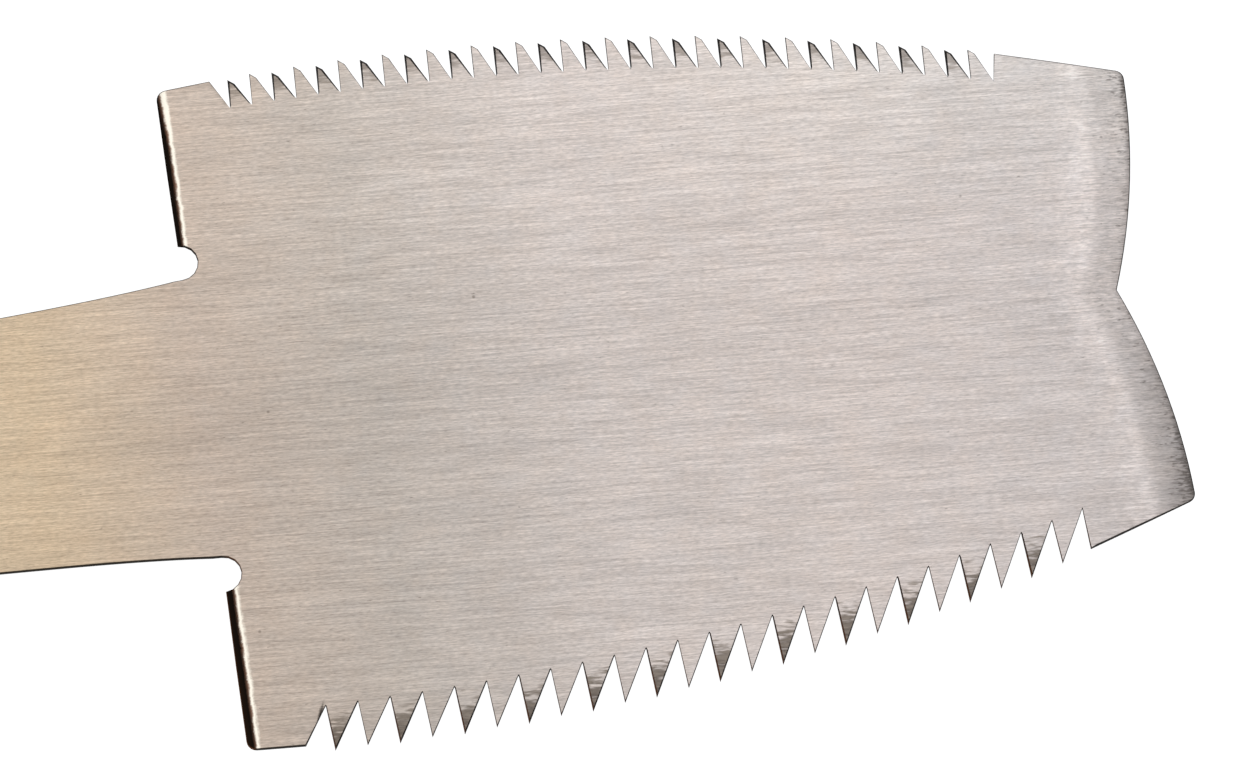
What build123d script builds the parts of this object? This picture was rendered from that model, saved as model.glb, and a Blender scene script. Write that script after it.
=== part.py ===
from build123d import *
import os
from dataclasses import dataclass
from math import sqrt

# A double-edged pull saw with a short curved head, for cuts that start in the
# middle of a board, lying flat on its handle.
# Millimetres. +X runs from the butt of the handle to the toe of the blade,
# +Y is the crosscut edge, -Y is the rip edge and +Z is up. The origin is below
# the middle of the saw's length, on the surface that the saw lies on.

# Overall sizes
OVERALL_LENGTH = 422.0
HEAD_LENGTH = 80.7
HEAD_WIDTH = 57.9
NECK_LENGTH = 72.0           # from the shoulders to the front of the blade holder
HANDLE_THICKNESS = 24.0

# Blade
BLADE_THICKNESS = 0.6
SET = 0.22                   # sideways bend of a tooth at its tip
HEEL_RISE = 0.3              # the heels widen by this much towards the teeth
CORNER_RADIUS = 0.8
TOE_WIDTH = 37.6
TOE_NOTCH_DEPTH = 3.6
SCALLOP_RADIUS = 53.8
RELIEF_RADIUS = 1.5          # round notch between shoulder and neck
RELIEF_OFFSET = 0.05
NECK_ROOT_WIDTH = 24.2
NECK_FLARE_LENGTH = 14.0
NECK_FLARE_WIDTH = 22.06
NECK_BEND_SETBACK = 5.04     # from the shoulders to where the flare's two tangents meet
TANG_WIDTH = 16.4
TANG_END_RADIUS = 6.5

# Blade holder, its hook pin and its clamp screw
HOLDER_WALL = 1.2
HOLDER_EXPOSED = 35.0
HOLDER_BURIED = 36.0
HOLDER_CORNER = 5.0
HOLDER_EDGE_BREAK = 0.3
SCREW_SETBACK = 9.0          # from the front of the holder to the clamp screw
SCREW_TO_PIN = 17.0
SCREW_RADIUS = 2.5
SCREW_PITCH = 0.8
SCREW_TURNS = 2
SCREW_HEAD_RADIUS = 7.5
SCREW_HEAD_HEIGHT = 4.5
SCREW_COLLAR_RADIUS = 4.6
SCREW_COLLAR_HEIGHT = 1.2
KNURL_COUNT = 36
KNURL_DEPTH = 0.35
COIN_SLOT_WIDTH = 1.4
COIN_SLOT_DEPTH = 1.2
WASHER_RADIUS = 5.4
WASHER_THICKNESS = 0.9
NUT_WIDTH = 8.0
NUT_THICKNESS = 3.2
RETAINER_RADIUS = 3.9
RETAINER_THICKNESS = 0.8
GROOVE_DEPTH = 0.5
SCREW_TAIL = 0.9             # beyond the retaining ring
HOOK_PIN_RADIUS = 2.0
RIVET_HEAD_RADIUS = 3.3
RIVET_HEAD_HEIGHT = 1.0
DOWEL_RADIUS = 1.5
DOWEL_COVER = 1.7            # wood between a dowel's end and the wrap
DOWEL_SETBACKS = (10.0, 27.0)   # from the front of the handle

# Handle
FERRULE_WIDTH = 29.0
FERRULE_LENGTH = 20.0
FERRULE_WALL = 0.8
WAIST_WIDTH = 28.0
WAIST_THICKNESS = 22.4
WAIST_SHARE = 0.4            # of the grip's length, from its front
BUTT_WIDTH = 34.0
BAND_LENGTH = 4.0
BAND_WALL = 0.8
BAND_INSET = 0.25
WRAP_THICKNESS = 1.6
WRAP_INSET = 0.2
BARE_WOOD_LENGTH = 34.0
BARE_WOOD_INSET = 0.5
CAP_LENGTH = 16.0
CAP_WALL = 1.5
CAP_END = 4.0
CAP_ROUNDING = 3.0
CAP_SCREW_RADIUS = 1.75
CAP_SCREW_LENGTH = 22.0
CAP_SCREW_HEAD_RADIUS = 3.4
BRAD_RADIUS = 0.7
BRAD_HEAD_RADIUS = 1.5
BRAD_HEAD_HEIGHT = 0.5
BRAD_TIP_GAP = 0.95          # between a brad's tip and the holder's spine
BRAD_SETBACK = 14.0          # from the front of the handle
HANG_HOLE_RADIUS = 3.0
EYELET_WALL = 0.6
EYELET_FLANGE_RADIUS = 5.6
EYELET_FLANGE_THICKNESS = 0.6
HANG_HOLE_SETBACK = 17.0     # from the front of the end cap

# Clearances
BLADE_GAP = 0.05             # blade to each cheek of the holder
PIN_GAP = 0.05               # running fits, on the radius
SCREW_HOLE_GAP = 0.2
SPINE_GAP = 0.15
GLUE_GAP = 0.05
SEAT_GAP = 0.1

# Stations along X and heights, worked out from the sizes above
TOE_X = OVERALL_LENGTH / 2
SHOULDER_X = TOE_X - HEAD_LENGTH
HOLDER_FRONT_X = SHOULDER_X - NECK_LENGTH
SCREW_X = HOLDER_FRONT_X - SCREW_SETBACK
PIN_X = SCREW_X - SCREW_TO_PIN
HANDLE_FRONT_X = HOLDER_FRONT_X - HOLDER_EXPOSED
HOLDER_REAR_X = HANDLE_FRONT_X - HOLDER_BURIED
BUTT_X = -OVERALL_LENGTH / 2
GRIP_FRONT_X = HANDLE_FRONT_X - FERRULE_LENGTH
WRAP_FRONT_X = GRIP_FRONT_X - BAND_LENGTH
CAP_FRONT_X = BUTT_X + CAP_LENGTH
WOOD_FRONT_X = CAP_FRONT_X + BARE_WOOD_LENGTH
WRAP_REAR_X = WOOD_FRONT_X + BAND_LENGTH
HANG_HOLE_X = CAP_FRONT_X + HANG_HOLE_SETBACK
WAIST_X = GRIP_FRONT_X - WAIST_SHARE * (GRIP_FRONT_X - CAP_FRONT_X)
MIDDLE_Z = HANDLE_THICKNESS / 2
HOLDER_THICKNESS = BLADE_THICKNESS + 2 * (BLADE_GAP + HOLDER_WALL)
HOLDER_TOP_Z = MIDDLE_Z + HOLDER_THICKNESS / 2
HOLDER_BOTTOM_Z = MIDDLE_Z - HOLDER_THICKNESS / 2
HOLDER_OPEN_Y = -TANG_WIDTH / 2 - SPINE_GAP
HOLDER_SPINE_Y = TANG_WIDTH / 2 + SPINE_GAP + HOLDER_WALL
BRAD_LENGTH = FERRULE_WIDTH / 2 - HOLDER_SPINE_Y - BRAD_TIP_GAP
DOWEL_LENGTH = HANDLE_THICKNESS - 2 * (WRAP_INSET + WRAP_THICKNESS + DOWEL_COVER)
SCREW_LIFT = SCREW_PITCH * SCREW_TURNS
RETAINER_TOP_Z = HOLDER_BOTTOM_Z - NUT_THICKNESS - SCREW_LIFT - SEAT_GAP
SCREW_END_Z = RETAINER_TOP_Z - RETAINER_THICKNESS - SCREW_TAIL
COLLAR_Z = HOLDER_TOP_Z + WASHER_THICKNESS
HEAD_Z = COLLAR_Z + SCREW_COLLAR_HEIGHT
NUT_BORE = SCREW_RADIUS + PIN_GAP


@dataclass
class ToothRow:
    """One toothed edge. Lengths along the blade start at the shoulders, and
    heights are distances from the blade's centre line."""

    side: int                # +1 for the edge on +Y, -1 for the edge on -Y
    pitch: float
    heel_end: float
    first_gullet: float
    toe_margin: float        # from the last gullet to the toe
    root_crest: float        # where the line of gullets is highest
    root_drop: float         # its highest point, inside the heel's corner
    root_radius: float
    tip_crest: float
    tip_rise: float          # highest tip, outside the heel's corner
    tip_radius: float
    lean: float              # of a tip over the gullet in front of it
    facet_length: float      # top facet, along the blade
    facet_drop: float
    toe_flat_start: float    # from the last gullet
    toe_flat_drop: float     # slope of the toe flat

    @property
    def last_gullet(self):
        return HEAD_LENGTH - self.toe_margin

    @property
    def teeth(self):
        return round((self.last_gullet - self.first_gullet) / self.pitch)

    @property
    def step(self):
        return (self.last_gullet - self.first_gullet) / self.teeth

    def gullet(self, number):
        return self.first_gullet + number * self.step

    def root_height(self, along):
        crest = HEAD_WIDTH / 2 - self.root_drop
        return crest - self.root_radius + sqrt(self.root_radius**2 - (along - self.root_crest) ** 2)

    def tip_height(self, along):
        crest = HEAD_WIDTH / 2 + self.tip_rise
        return crest - self.tip_radius + sqrt(self.tip_radius**2 - (along - self.tip_crest) ** 2)

    def point(self, along, height):
        return (along, self.side * height)


CROSSCUT = ToothRow(
    side=1, pitch=1.877, heel_end=4.6, first_gullet=6.02, toe_margin=10.9,
    root_crest=12.7, root_drop=2.5, root_radius=236.6,
    tip_crest=15.1, tip_rise=0.25, tip_radius=211.6,
    lean=0.1, facet_length=0.55, facet_drop=0.43,
    toe_flat_start=0.4, toe_flat_drop=0.293,
)
RIP = ToothRow(
    side=-1, pitch=2.68, heel_end=4.8, first_gullet=6.87, toe_margin=9.46,
    root_crest=11.6, root_drop=3.14, root_radius=237.9,
    tip_crest=16.0, tip_rise=0.85, tip_radius=201.2,
    lean=0.28, facet_length=0.0, facet_drop=0.0,
    toe_flat_start=0.14, toe_flat_drop=0.314,
)
GULLET_HALF_WIDTH = 0.06
ROOT_OVERLAP = 0.3           # how far a tooth's solid reaches into the plate


# Blade
def half_head(row):
    """Face of the blade's head from its centre line out to one row of gullets."""
    heel = HEAD_WIDTH / 2
    toe_corner = row.point(HEAD_LENGTH, TOE_WIDTH / 2)
    toe_flat_x = row.last_gullet + row.toe_flat_start
    toe_flat_height = TOE_WIDTH / 2 + row.toe_flat_drop * (HEAD_LENGTH - toe_flat_x)
    first = row.point(row.first_gullet, row.root_height(row.first_gullet))
    last = row.point(row.last_gullet, row.root_height(row.last_gullet))
    middle_x = (row.first_gullet + row.last_gullet) / 2
    middle = row.point(middle_x, row.root_height(middle_x))
    notch = (HEAD_LENGTH - TOE_NOTCH_DEPTH, 0)
    with BuildSketch() as half:
        with BuildLine():
            Polyline((0, 0), row.point(0, heel - HEEL_RISE), row.point(row.heel_end, heel), first)
            ThreePointArc(first, middle, last)
            Polyline(last, row.point(toe_flat_x, toe_flat_height), toe_corner)
            RadiusArc(toe_corner, notch, row.side * SCALLOP_RADIUS)
            Line(notch, (0, 0))
        make_face()
    return half.sketch


def neck_and_tang():
    """Face of the neck, flared into the head, and of the tang with its round end."""
    root = NECK_ROOT_WIDTH / 2
    flare = NECK_FLARE_WIDTH / 2
    tang = TANG_WIDTH / 2
    pin_x = PIN_X - SHOULDER_X
    holder_x = HOLDER_FRONT_X - SHOULDER_X
    taper = (flare - tang) / (NECK_LENGTH - NECK_FLARE_LENGTH)
    bend = (-NECK_BEND_SETBACK, flare + taper * (NECK_FLARE_LENGTH - NECK_BEND_SETBACK))
    with BuildSketch() as strip:
        with BuildLine():
            Line((RELIEF_RADIUS, 0), (RELIEF_RADIUS, root))
            Line((RELIEF_RADIUS, root), (0, root))
            Bezier((0, root), bend, (-NECK_FLARE_LENGTH, flare))
            Polyline((-NECK_FLARE_LENGTH, flare), (holder_x, tang), (pin_x + TANG_END_RADIUS, tang))
            Line((pin_x + TANG_END_RADIUS, tang), (pin_x, TANG_END_RADIUS))
            CenterArc((pin_x, 0), TANG_END_RADIUS, 90, 90)
            Line((pin_x - TANG_END_RADIUS, 0), (RELIEF_RADIUS, 0))
        make_face()
        mirror(about=Plane.XZ)
    return strip.sketch


def screw_slot():
    """Ring sector about the hook pin that the clamp screw's shank passes through
    while the blade swings, centred on the pin."""
    half_width = SCREW_RADIUS + SCREW_HOLE_GAP
    with BuildSketch() as slot:
        Circle(SCREW_TO_PIN + half_width)
        Circle(SCREW_TO_PIN - half_width, mode=Mode.SUBTRACT)
        with Locations((SCREW_TO_PIN, TANG_WIDTH / 2)):
            Rectangle(2 * TANG_WIDTH, TANG_WIDTH, mode=Mode.INTERSECT)
        with Locations((SCREW_TO_PIN, 0)):
            Circle(half_width)
    return slot.sketch


def tooth_points(row, number):
    """Corners of one tooth: up the front, over the top facet if any, and down the back."""
    front = row.gullet(number) + GULLET_HALF_WIDTH
    back = row.gullet(number + 1) - GULLET_HALF_WIDTH
    tip = row.gullet(number) + row.lean
    points = [
        (front, row.root_height(front) - ROOT_OVERLAP),
        (front, row.root_height(front)),
        (tip, row.tip_height(tip)),
    ]
    if row.facet_length:
        points.append((tip + row.facet_length, row.tip_height(tip) - row.facet_drop))
    points.append((back, row.root_height(back)))
    points.append((back, row.root_height(back) - ROOT_OVERLAP))
    return [row.point(*point) for point in points]


def set_teeth(row, first, direction):
    """Every second tooth of a row, bent up (+1) or down (-1) from its root."""
    centre_y = row.side * (HEAD_WIDTH / 2 - row.root_drop - row.root_radius)
    reach = row.root_drop + row.tip_rise + ROOT_OVERLAP
    half = BLADE_THICKNESS / 2
    bend = direction * SET * reach / (row.root_drop + row.tip_rise)
    root = row.root_radius
    with BuildPart() as teeth:
        with BuildSketch(Plane.XZ.offset(-centre_y).shift_origin((row.root_crest, centre_y, 0))):
            with BuildLine():
                Polyline(
                    (root - 2 * ROOT_OVERLAP, -half), (root, -half), (root + reach, bend - half),
                    (root + reach, bend + half), (root, half), (root - 2 * ROOT_OVERLAP, half),
                    close=True,
                )
            make_face()
        revolve(axis=Axis((row.root_crest, centre_y, 0), (0, 0, 1)))
        with BuildSketch(Plane.XY.offset(-BLADE_THICKNESS)):
            for number in range(first, row.teeth, 2):
                with BuildLine():
                    Polyline(*tooth_points(row, number), close=True)
                make_face()
        extrude(amount=2 * BLADE_THICKNESS, mode=Mode.INTERSECT)
    return teeth.part


blade_plane = Plane((SHOULDER_X, 0, MIDDLE_Z))
hook_plane = Plane((PIN_X, 0, MIDDLE_Z))
head_halves = [half_head(CROSSCUT), half_head(RIP)]
neck = neck_and_tang()
shank_slot = screw_slot()
teeth_groups = []
for row in (CROSSCUT, RIP):
    teeth_groups.append(set_teeth(row, first=0, direction=-1))
    teeth_groups.append(set_teeth(row, first=1, direction=1))

with BuildPart() as blade:
    with BuildSketch(blade_plane.offset(-BLADE_THICKNESS / 2)) as outline:
        add(head_halves)
        for corner_x in (0, HEAD_LENGTH):
            for side in (1, -1):
                corner_y = side * (TOE_WIDTH / 2 if corner_x else HEAD_WIDTH / 2 - HEEL_RISE)
                corner = outline.vertices().sort_by_distance((corner_x, corner_y, 0))[0]
                fillet(corner, CORNER_RADIUS)
        add(neck)
        relief_y = NECK_ROOT_WIDTH / 2 + RELIEF_RADIUS - RELIEF_OFFSET
        with Locations((RELIEF_OFFSET, relief_y), (RELIEF_OFFSET, -relief_y)):
            Circle(RELIEF_RADIUS, mode=Mode.SUBTRACT)
    extrude(amount=BLADE_THICKNESS)
    for group in teeth_groups:
        add(blade_plane.location * group)
    # The hook and the screw's slot both open on the +Y edge. The slot is an arc
    # about the hook, so the blade swings out past the screw's shank.
    with BuildSketch(hook_plane.offset(-BLADE_THICKNESS)):
        add(shank_slot)
        Circle(HOOK_PIN_RADIUS + PIN_GAP)
        with Locations((0, TANG_WIDTH / 2)):
            Rectangle(2 * (HOOK_PIN_RADIUS + PIN_GAP), TANG_WIDTH)
    extrude(amount=2 * BLADE_THICKNESS, mode=Mode.SUBTRACT)
blade.part.label = "blade"


# Blade holder: steel sheet folded along +Y, open along -Y
with BuildPart() as blade_holder:
    with BuildSketch(Plane.YZ.offset(HOLDER_REAR_X)):
        with BuildLine():
            Polyline(
                (HOLDER_OPEN_Y, HOLDER_BOTTOM_Z), (HOLDER_SPINE_Y, HOLDER_BOTTOM_Z),
                (HOLDER_SPINE_Y, HOLDER_TOP_Z), (HOLDER_OPEN_Y, HOLDER_TOP_Z),
                close=True,
            )
        make_face()
    extrude(amount=HOLDER_FRONT_X - HOLDER_REAR_X)
    fold_edges = blade_holder.edges().filter_by(Axis.X).group_by(Axis.Y)[-1]
    fillet(fold_edges, HOLDER_WALL)
    nose_edge = blade_holder.edges().filter_by(Axis.Z).group_by(Axis.X)[-1].sort_by(Axis.Y)[0]
    fillet(nose_edge, HOLDER_CORNER)
    with BuildSketch(Plane.YZ.offset(HOLDER_REAR_X)):
        with Locations((HOLDER_SPINE_Y - HOLDER_WALL - TANG_WIDTH, MIDDLE_Z)):
            Rectangle(2 * TANG_WIDTH, BLADE_THICKNESS + 2 * BLADE_GAP)
    extrude(amount=HOLDER_FRONT_X - HOLDER_REAR_X, mode=Mode.SUBTRACT)
    with Locations((SCREW_X, 0, HOLDER_TOP_Z)):
        Hole(SCREW_RADIUS + SCREW_HOLE_GAP, depth=HOLDER_THICKNESS)
    with Locations((PIN_X, 0, HOLDER_TOP_Z)):
        Hole(HOOK_PIN_RADIUS, depth=HOLDER_THICKNESS)
    for setback in DOWEL_SETBACKS:
        with Locations((HANDLE_FRONT_X - setback, 0, HOLDER_TOP_Z)):
            Hole(DOWEL_RADIUS, depth=HOLDER_THICKNESS)
    for cheek_number in (0, -1):
        cheek = blade_holder.faces().sort_by(Axis.Z)[cheek_number]
        all_but_fold = cheek.outer_wire().edges().sort_by(Axis.Y)[:-1]
        all_but_rear = all_but_fold.sort_by(Axis.X)[1:]
        chamfer(all_but_rear, HOLDER_EDGE_BREAK)
blade_holder.part.label = "blade_holder"

# Hook pin: a rivet with a low domed head on each cheek
with BuildPart() as hook_pin:
    with BuildSketch(Plane.XY.offset(HOLDER_BOTTOM_Z)):
        with Locations((PIN_X, 0)):
            Circle(HOOK_PIN_RADIUS)
    extrude(amount=HOLDER_THICKNESS)
    for seat_z, direction in ((HOLDER_TOP_Z, 1), (HOLDER_BOTTOM_Z, -1)):
        with BuildSketch(Plane.XY.offset(seat_z)):
            with Locations((PIN_X, 0)):
                Circle(RIVET_HEAD_RADIUS)
        extrude(amount=direction * RIVET_HEAD_HEIGHT)
    rims = hook_pin.edges().filter_by(GeomType.CIRCLE).group_by(Axis.Z)
    fillet(rims[0] + rims[-1], 0.8 * RIVET_HEAD_HEIGHT)
hook_pin.part.label = "hook_pin"

# Clamp nut, welded under the lower cheek
with BuildPart() as clamp_nut:
    with BuildSketch(Plane.XY.offset(HOLDER_BOTTOM_Z)):
        with Locations((SCREW_X, 0)):
            Rectangle(NUT_WIDTH, NUT_WIDTH)
            Circle(NUT_BORE, mode=Mode.SUBTRACT)
    extrude(amount=-NUT_THICKNESS)
    chamfer(clamp_nut.edges().filter_by(Axis.Z), NUT_WIDTH / 10)
clamp_nut.part.label = "clamp_nut"

# Clamp washer, between the screw's collar and the upper cheek
with BuildPart() as clamp_washer:
    with BuildSketch(Plane.XY.offset(HOLDER_TOP_Z)):
        with Locations((SCREW_X, 0)):
            Circle(WASHER_RADIUS)
            Circle(SCREW_RADIUS + PIN_GAP, mode=Mode.SUBTRACT)
    extrude(amount=WASHER_THICKNESS)
    chamfer(clamp_washer.edges().group_by(Axis.Z)[-1].sort_by(SortBy.LENGTH)[-1], WASHER_THICKNESS / 4)
clamp_washer.part.label = "clamp_washer"

# Clamp screw, revolved, then knurled and slotted
screw_plane = Plane((SCREW_X, 0, 0), x_dir=(1, 0, 0), z_dir=(0, -1, 0))
groove_radius = SCREW_RADIUS - GROOVE_DEPTH
head_top_z = HEAD_Z + SCREW_HEAD_HEIGHT
head_edge = SCREW_HEAD_HEIGHT / 6
groove_bottom_z = RETAINER_TOP_Z - RETAINER_THICKNESS
with BuildPart() as clamp_screw:
    with BuildSketch(screw_plane):
        with BuildLine():
            Polyline(
                (0, SCREW_END_Z), (groove_radius, SCREW_END_Z), (SCREW_RADIUS, SCREW_END_Z + GROOVE_DEPTH),
                (SCREW_RADIUS, groove_bottom_z), (groove_radius, groove_bottom_z),
                (groove_radius, RETAINER_TOP_Z), (SCREW_RADIUS, RETAINER_TOP_Z),
                (SCREW_RADIUS, COLLAR_Z), (SCREW_COLLAR_RADIUS, COLLAR_Z),
                (SCREW_COLLAR_RADIUS, HEAD_Z), (SCREW_HEAD_RADIUS - head_edge, HEAD_Z),
                (SCREW_HEAD_RADIUS, HEAD_Z + head_edge), (SCREW_HEAD_RADIUS, head_top_z - head_edge),
                (SCREW_HEAD_RADIUS - head_edge, head_top_z), (0, head_top_z),
                close=True,
            )
        make_face()
    revolve(axis=Axis((SCREW_X, 0, 0), (0, 0, 1)))
    with BuildSketch(Plane.XY.offset(HEAD_Z)):
        with Locations((SCREW_X, 0)):
            with PolarLocations(SCREW_HEAD_RADIUS, KNURL_COUNT):
                Rectangle(2 * KNURL_DEPTH, 2 * KNURL_DEPTH, rotation=45)
    extrude(amount=SCREW_HEAD_HEIGHT, mode=Mode.SUBTRACT)
    with BuildSketch(Plane.XY.offset(head_top_z)):
        with Locations((SCREW_X, 0)):
            Rectangle(COIN_SLOT_WIDTH, 2 * SCREW_HEAD_RADIUS + 1)
    extrude(amount=-COIN_SLOT_DEPTH, mode=Mode.SUBTRACT)
clamp_screw.part.label = "clamp_screw"

# Retaining ring, which keeps the screw in its nut
with BuildPart() as screw_retainer:
    with BuildSketch(Plane.XY.offset(RETAINER_TOP_Z)):
        with Locations((SCREW_X, 0)):
            Circle(RETAINER_RADIUS)
            Circle(groove_radius, mode=Mode.SUBTRACT)
        with Locations((SCREW_X, -RETAINER_RADIUS)):
            Rectangle(groove_radius, 2 * RETAINER_RADIUS, mode=Mode.SUBTRACT)
    extrude(amount=-RETAINER_THICKNESS)
screw_retainer.part.label = "screw_retainer"


# Handle
def grip(inset):
    """The handle's oval body between ferrule and end cap, waisted, with its
    surface set in by a distance."""
    stations = (
        (GRIP_FRONT_X, FERRULE_WIDTH, HANDLE_THICKNESS),
        (WAIST_X, WAIST_WIDTH, WAIST_THICKNESS),
        (CAP_FRONT_X, BUTT_WIDTH, HANDLE_THICKNESS),
    )
    with BuildPart() as body:
        for station_x, width, thickness in stations:
            with BuildSketch(Plane.YZ.offset(station_x)):
                with Locations((0, MIDDLE_Z)):
                    Ellipse(width / 2 - inset, thickness / 2 - inset)
        loft()
    return body.part


def oval_bar(rear_x, front_x, width, inset):
    """Straight oval bar of the handle's full thickness, less an inset all round."""
    with BuildPart() as bar:
        with BuildSketch(Plane.YZ.offset(rear_x)):
            with Locations((0, MIDDLE_Z)):
                Ellipse(width / 2 - inset, HANDLE_THICKNESS / 2 - inset)
        extrude(amount=front_x - rear_x)
    return bar.part


def slab(rear_x, front_x):
    """Box across the whole handle between two stations."""
    with BuildPart() as box:
        with Locations(((rear_x + front_x) / 2, 0, MIDDLE_Z)):
            Box(front_x - rear_x, 2 * BUTT_WIDTH, 2 * HANDLE_THICKNESS)
    return box.part


def grip_length(rear_x, front_x, inset):
    """The part of the grip between two stations."""
    return grip(inset) & slab(rear_x, front_x)


wood_parts = [
    oval_bar(GRIP_FRONT_X, HANDLE_FRONT_X - FERRULE_WALL - GLUE_GAP, FERRULE_WIDTH, FERRULE_WALL + GLUE_GAP),
    grip_length(WRAP_FRONT_X, GRIP_FRONT_X, BAND_INSET + BAND_WALL + GLUE_GAP),
    grip_length(WRAP_REAR_X, WRAP_FRONT_X, WRAP_INSET + WRAP_THICKNESS + GLUE_GAP),
    grip_length(WOOD_FRONT_X, WRAP_REAR_X, BAND_INSET + BAND_WALL + GLUE_GAP),
    grip_length(CAP_FRONT_X, WOOD_FRONT_X, BARE_WOOD_INSET),
    oval_bar(BUTT_X + CAP_END + GLUE_GAP, CAP_FRONT_X, BUTT_WIDTH, CAP_WALL + GLUE_GAP),
]


def handle_half(side):
    """Upper (+1) or lower (-1) half of the wooden core. The halves are glued on
    the blade's plane, round the buried end of the holder."""
    keep = Keep.TOP if side > 0 else Keep.BOTTOM
    with BuildPart() as half:
        add(wood_parts)
        split(bisect_by=Plane.XY.offset(MIDDLE_Z), keep=keep)
        recess_length = HOLDER_BURIED + SEAT_GAP
        recess_width = HOLDER_SPINE_Y - HOLDER_OPEN_Y + 2 * SEAT_GAP
        with Locations((HANDLE_FRONT_X - recess_length / 2, (HOLDER_SPINE_Y + HOLDER_OPEN_Y) / 2, MIDDLE_Z)):
            Box(recess_length, recess_width, HOLDER_THICKNESS + 2 * SEAT_GAP, mode=Mode.SUBTRACT)
        for setback in DOWEL_SETBACKS:
            with Locations((HANDLE_FRONT_X - setback, 0, MIDDLE_Z)):
                Cylinder(DOWEL_RADIUS, DOWEL_LENGTH, mode=Mode.SUBTRACT)
        with Locations((HANG_HOLE_X, 0, MIDDLE_Z)):
            Cylinder(HANG_HOLE_RADIUS + EYELET_WALL, 2 * HANDLE_THICKNESS, mode=Mode.SUBTRACT)
        flange_seat = MIDDLE_Z + side * (eyelet_seat + HANDLE_THICKNESS / 2)
        with Locations((HANG_HOLE_X, 0, flange_seat)):
            Cylinder(EYELET_FLANGE_RADIUS + SEAT_GAP, HANDLE_THICKNESS, mode=Mode.SUBTRACT)
        screw_hole_x = BUTT_X + CAP_SCREW_LENGTH / 2
        with Locations((screw_hole_x, 0, MIDDLE_Z)):
            Cylinder(CAP_SCREW_RADIUS, CAP_SCREW_LENGTH, rotation=(0, 90, 0), mode=Mode.SUBTRACT)
        for edge in (1, -1):
            with Locations((HANDLE_FRONT_X - BRAD_SETBACK, edge * brad_middle, MIDDLE_Z)):
                Cylinder(BRAD_RADIUS, BRAD_LENGTH, rotation=(90, 0, 0), mode=Mode.SUBTRACT)
    return half.part


def grip_half_size(station_x, front, waist, butt):
    """Half width or half thickness of the grip at a station, from its three sizes."""
    to_waist = (station_x - WAIST_X) / (GRIP_FRONT_X - WAIST_X)
    to_butt = (station_x - WAIST_X) / (CAP_FRONT_X - WAIST_X)
    between = (station_x - GRIP_FRONT_X) / (CAP_FRONT_X - GRIP_FRONT_X)
    return (waist + (front - waist) * to_waist * (1 - between) + (butt - waist) * to_butt * between) / 2


wood_half_width = grip_half_size(HANG_HOLE_X, FERRULE_WIDTH, WAIST_WIDTH, BUTT_WIDTH) - BARE_WOOD_INSET
wood_half_thickness = (
    grip_half_size(HANG_HOLE_X, HANDLE_THICKNESS, WAIST_THICKNESS, HANDLE_THICKNESS) - BARE_WOOD_INSET
)
flange_share = (EYELET_FLANGE_RADIUS + SEAT_GAP) / wood_half_width
eyelet_seat = wood_half_thickness * sqrt(1 - flange_share**2) - EYELET_FLANGE_THICKNESS / 4
brad_head_y = FERRULE_WIDTH / 2
brad_middle = brad_head_y - BRAD_LENGTH / 2

with BuildPart() as handle_half_upper:
    add(handle_half(1))
handle_half_upper.part.label = "handle_half_upper"

with BuildPart() as handle_half_lower:
    add(handle_half(-1))
handle_half_lower.part.label = "handle_half_lower"

# Dowels through both halves and both cheeks of the holder
with BuildPart() as holder_dowels:
    for setback in DOWEL_SETBACKS:
        with Locations((HANDLE_FRONT_X - setback, 0, MIDDLE_Z)):
            Cylinder(DOWEL_RADIUS, DOWEL_LENGTH)
holder_dowels.part.label = "holder_dowels"

# Ferrule: a drawn oval cup with a slot in its face for the holder
ferrule_outside = oval_bar(GRIP_FRONT_X, HANDLE_FRONT_X, FERRULE_WIDTH, 0)
ferrule_inside = oval_bar(GRIP_FRONT_X, HANDLE_FRONT_X - FERRULE_WALL, FERRULE_WIDTH, FERRULE_WALL)
with BuildPart() as front_ferrule:
    add(ferrule_outside)
    fillet(front_ferrule.edges().group_by(Axis.X)[-1], 1.4 * FERRULE_WALL)
    add(ferrule_inside, mode=Mode.SUBTRACT)
    slot_width = HOLDER_SPINE_Y - HOLDER_OPEN_Y + 2 * SEAT_GAP
    with Locations((HANDLE_FRONT_X, (HOLDER_SPINE_Y + HOLDER_OPEN_Y) / 2, MIDDLE_Z)):
        Box(4 * FERRULE_WALL, slot_width, HOLDER_THICKNESS + 2 * SEAT_GAP, mode=Mode.SUBTRACT)
    for edge in (1, -1):
        with Locations((HANDLE_FRONT_X - BRAD_SETBACK, edge * brad_middle, MIDDLE_Z)):
            Cylinder(BRAD_RADIUS, 2 * BRAD_LENGTH, rotation=(90, 0, 0), mode=Mode.SUBTRACT)
front_ferrule.part.label = "front_ferrule"

# Brads that hold the ferrule, one in each narrow side
with BuildPart() as ferrule_brads:
    for edge in (1, -1):
        with Locations((HANDLE_FRONT_X - BRAD_SETBACK, edge * brad_middle, MIDDLE_Z)):
            Cylinder(BRAD_RADIUS, BRAD_LENGTH, rotation=(90, 0, 0))
        head_middle = edge * (brad_head_y + BRAD_HEAD_HEIGHT / 2)
        with Locations((HANDLE_FRONT_X - BRAD_SETBACK, head_middle, MIDDLE_Z)):
            Cylinder(BRAD_HEAD_RADIUS, BRAD_HEAD_HEIGHT, rotation=(90, 0, 0))
    rims = ferrule_brads.edges().filter_by(GeomType.CIRCLE).group_by(Axis.Y)
    fillet(rims[0] + rims[-1], BRAD_HEAD_HEIGHT / 2)
ferrule_brads.part.label = "ferrule_brads"


def sleeve(rear_x, front_x, inset, wall):
    """Oval sleeve round the grip between two stations."""
    outside = grip_length(rear_x, front_x, inset)
    inside = grip_length(rear_x - wall, front_x + wall, inset + wall)
    return outside - inside


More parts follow.
